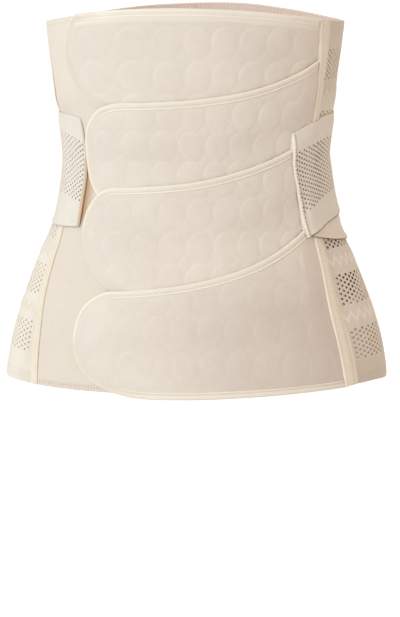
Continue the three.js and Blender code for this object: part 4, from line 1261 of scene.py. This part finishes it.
HEM_PROFILE = [
    (2.60, 0.02), (2.56, 0.20), (2.38, 0.32), (2.14, 0.28), (1.94, 0.14), (1.74, 0.26), (1.42, 0.60), (0.98, 0.80),
    (0.48, 0.76), (0.05, 0.52), (-0.40, 0.06), (-0.60, -0.55), (-0.62, -1.06),
    (-0.46, -1.08), (-0.38, -0.55), (-0.28, -0.10), (0.05, 0.02), (0.48, 0.02), (0.98, 0.02), (1.42, 0.02), (1.74, 0.02), (1.94, 0.02),
    (2.14, 0.02), (2.38, 0.02), (2.48, 0.01), (2.53, 0.01)]
LIP_PROFILE = [  # low hem with a broad lip that slopes down over the end
    (1.60, 0.02), (1.56, 0.12), (1.36, 0.20), (1.05, 0.16), (0.75, 0.24), (0.38, 0.30), (0.0, 0.26), (-0.45, 0.10),
    (-0.90, -0.16), (-1.30, -0.50), (-1.60, -0.84), (-1.75, -1.06),
    (-1.62, -1.08), (-1.36, -0.80), (-1.05, -0.52), (-0.70, -0.28), (-0.35, -0.10), (-0.05, 0.01), (0.30, 0.02), (0.60, 0.02),
    (0.90, 0.02), (1.20, 0.02), (1.42, 0.01), (1.52, 0.01)]


def strap_hem(name, node, table, front, lift, toward, profile, valley, shade, cloths, lip=lambda z: 1 + 0 * z, foot=None):
    """Rolled hem over a strap's front end."""
    f = np.linspace(0.004, 0.996, 270)
    z = np.zeros(len(f))
    for _ in range(6):
        p = front(z)
        z = lerp(lines(table, 2)(p), lines(table, 1)(p), f)
    p = front(z)
    inward = np.stack([np.full(len(p), float(toward)), np.zeros(len(p))], -1)
    t = np.linspace(0, 1, len(f))
    ends = np.minimum(1, np.sqrt(np.clip(np.minimum(t, 1 - t) / 0.035, 0, 1)) * 0.6 + 0.4)
    base = lambda a, b: lift(a, b) + strap_thick(table, a, b) + 0.05
    cloth = Cloth()
    run = np.concatenate([[0], np.cumsum(np.abs(np.diff(z)))])
    ends = ends * (1 + 0.36 * np.sin(2 * math.pi * run / 2.95))    # drawn in by each stitch
    s, h = np.array(profile).T
    half = len(s) // 2
    # painted shade: the lip darkens towards its outer edge as much as shade(z), and the valley beside the hem and the
    # lip's wall over the belts are painted dark
    outer = np.clip((0.9 - s) / 2.4, 0, 1) ** 1.3 * (np.arange(len(s)) <= half)
    tone = -(1 + shade(z)[:, None] * outer) * (outer > 0) * np.minimum(1, shade(z) * 4)[:, None]
    deep = np.zeros(len(s))
    deep[valley] = -1.45
    if foot:
        deep[h < -0.2] = -0.95
    scale = np.where(h > 0, ends[:, None], strap_thick(table, p, z)[:, None] / STRAP_THICK)
    # beads: painted shade between the stitched beads along the top of the hem
    beads = -0.55 * np.clip(-np.sin(2 * math.pi * run / 2.95), 0, 1)[:, None] * (h > 0.4) * smooth((8 - z) / 14)[:, None]
    teeth = 0.24 * np.sin(2 * math.pi * run / 2.95) * smooth((8 - z) / 14) * smooth((z + 52) / 8) if foot else 0 * z
    sweep(cloth, p, z, run, inward, base, profile, 0, scale, tone + deep + beads, np.where(s < 0, lip(z)[:, None], 1 + teeth[:, None] * (s > 1.2)), foot)
    sp = p + toward * s[4] / mm_per_degree(p, z)
    stitches(cloth, sp, z, base(sp, z) + 0.75 * h[4], 1, 2.3, 0.8, 0.16)
    return cloth.make(name, [cloths, THREAD], node, 60)


right_hem = strap_hem("strap_hem_right", "right_strap_hem", RIGHT_STRAP, right_front, right_lift, 1, HEM_PROFILE, slice(0, 5),
                      lambda z: 0 * z, BINDING, foot=lambda p, v: belts_height(p, v) + 0.08)
left_hem = strap_hem("strap_hem_left", "left_strap_hem", LEFT_STRAP, left_front, left_lift, -1, LIP_PROFILE, slice(0, 0),
                     lambda z: 0.9 * smooth((6 - z) / 14), STRAP_HEM, lambda z: lerp(0.35, 1.0, smooth((2 - z) / 10)))

# ---- what each cloth was cut to ------------------------------------------------------------------------
for k, (w, l, a) in enumerate(((0.086, 0.215, 0.0160), (0.092, 0.205, 0.0160), (0.096, 0.205, 0.0170), (0.130, 0.215, 0.0230))):
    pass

# ---- light and floor ------------------------------------------------------------------------------------
scene = bpy.context.scene
scene.view_settings.view_transform = "Standard"
scene.view_settings.look = "None"
scene.view_settings.exposure = 0.0
scene.view_settings.gamma = 1.0

world = bpy.data.worlds.new("studio")
scene.world = world
world.use_nodes = True
wn = world.node_tree
wn.nodes.clear()
where = wn.nodes.new("ShaderNodeTexCoord")
split = wn.nodes.new("ShaderNodeSeparateXYZ")
wn.links.new(where.outputs["Generated"], split.inputs[0])


def world_mix(axis, low, high, a, b):
    """Blend of two colours by the direction along one axis."""
    span = wn.nodes.new("ShaderNodeMapRange")
    span.interpolation_type = "SMOOTHSTEP"
    wn.links.new(split.outputs[axis], span.inputs["Value"])
    span.inputs["From Min"].default_value = low
    span.inputs["From Max"].default_value = high
    mix = wn.nodes.new("ShaderNodeMix")
    mix.data_type = "RGBA"
    wn.links.new(span.outputs["Result"], mix.inputs["Factor"])
    for socket, value in (("A", a), ("B", b)):
        if isinstance(value, tuple):
            mix.inputs[socket].default_value = value
        else:
            wn.links.new(value, mix.inputs[socket])
    return mix.outputs["Result"]


fill = world_mix("X", -0.1, 0.8, (0.79, 0.69, 0.665, 1), (0.70, 0.60, 0.465, 1))
sky = world_mix("Z", 0.0, 0.09, (1.0, 0.995, 0.99, 1), fill)
back = wn.nodes.new("ShaderNodeBackground")
wn.links.new(sky, back.inputs["Color"])
back.inputs["Strength"].default_value = 1.0
wout = wn.nodes.new("ShaderNodeOutputWorld")
wn.links.new(back.outputs[0], wout.inputs[0])

key = bpy.data.objects.new("key", bpy.data.lights.new("key", "SUN"))
key.data.energy = 1.58
key.data.angle = math.radians(38)
key.data.color = (0.76, 0.985, 1.0)
scene.collection.objects.link(key)
from mathutils import Vector
key.rotation_euler = Vector((-0.60, -0.70, 0.18)).to_track_quat("Z", "Y").to_euler()

floor_mesh = bpy.data.meshes.new("floor")
n, reach = 48, 90.0
ring = [(math.cos(2 * math.pi * i / n) * reach, math.sin(2 * math.pi * i / n) * reach, -0.75) for i in range(n)]
floor_mesh.from_pydata(ring, [], [list(range(n))])
floor = bpy.data.objects.new("floor", floor_mesh)
scene.collection.objects.link(floor)
fm = bpy.data.materials.new("floor")
fm.use_nodes = True
fn, fl = fm.node_tree.nodes.new, fm.node_tree.links.new
fb = fm.node_tree.nodes["Principled BSDF"]
fb.inputs["Base Color"].default_value = (0.78, 0.78, 0.775, 1)
fb.inputs["Roughness"].default_value = 0.95
fb.inputs["Emission Color"].default_value = (1, 0.995, 0.99, 1)
# the floor glows only far behind, as a lit backdrop does
spot = fn("ShaderNodeTexCoord")
axes = fn("ShaderNodeSeparateXYZ")
fl(spot.outputs["Object"], axes.inputs[0])
glow = fn("ShaderNodeMapRange")
glow.interpolation_type = "SMOOTHSTEP"
fl(axes.outputs["Y"], glow.inputs["Value"])
glow.inputs["From Min"].default_value = 0.2
glow.inputs["From Max"].default_value = 1.2
glow.inputs["To Min"].default_value = 0.0
glow.inputs["To Max"].default_value = 0.52
fl(glow.outputs["Result"], fb.inputs["Emission Strength"])
floor_mesh.materials.append(fm)
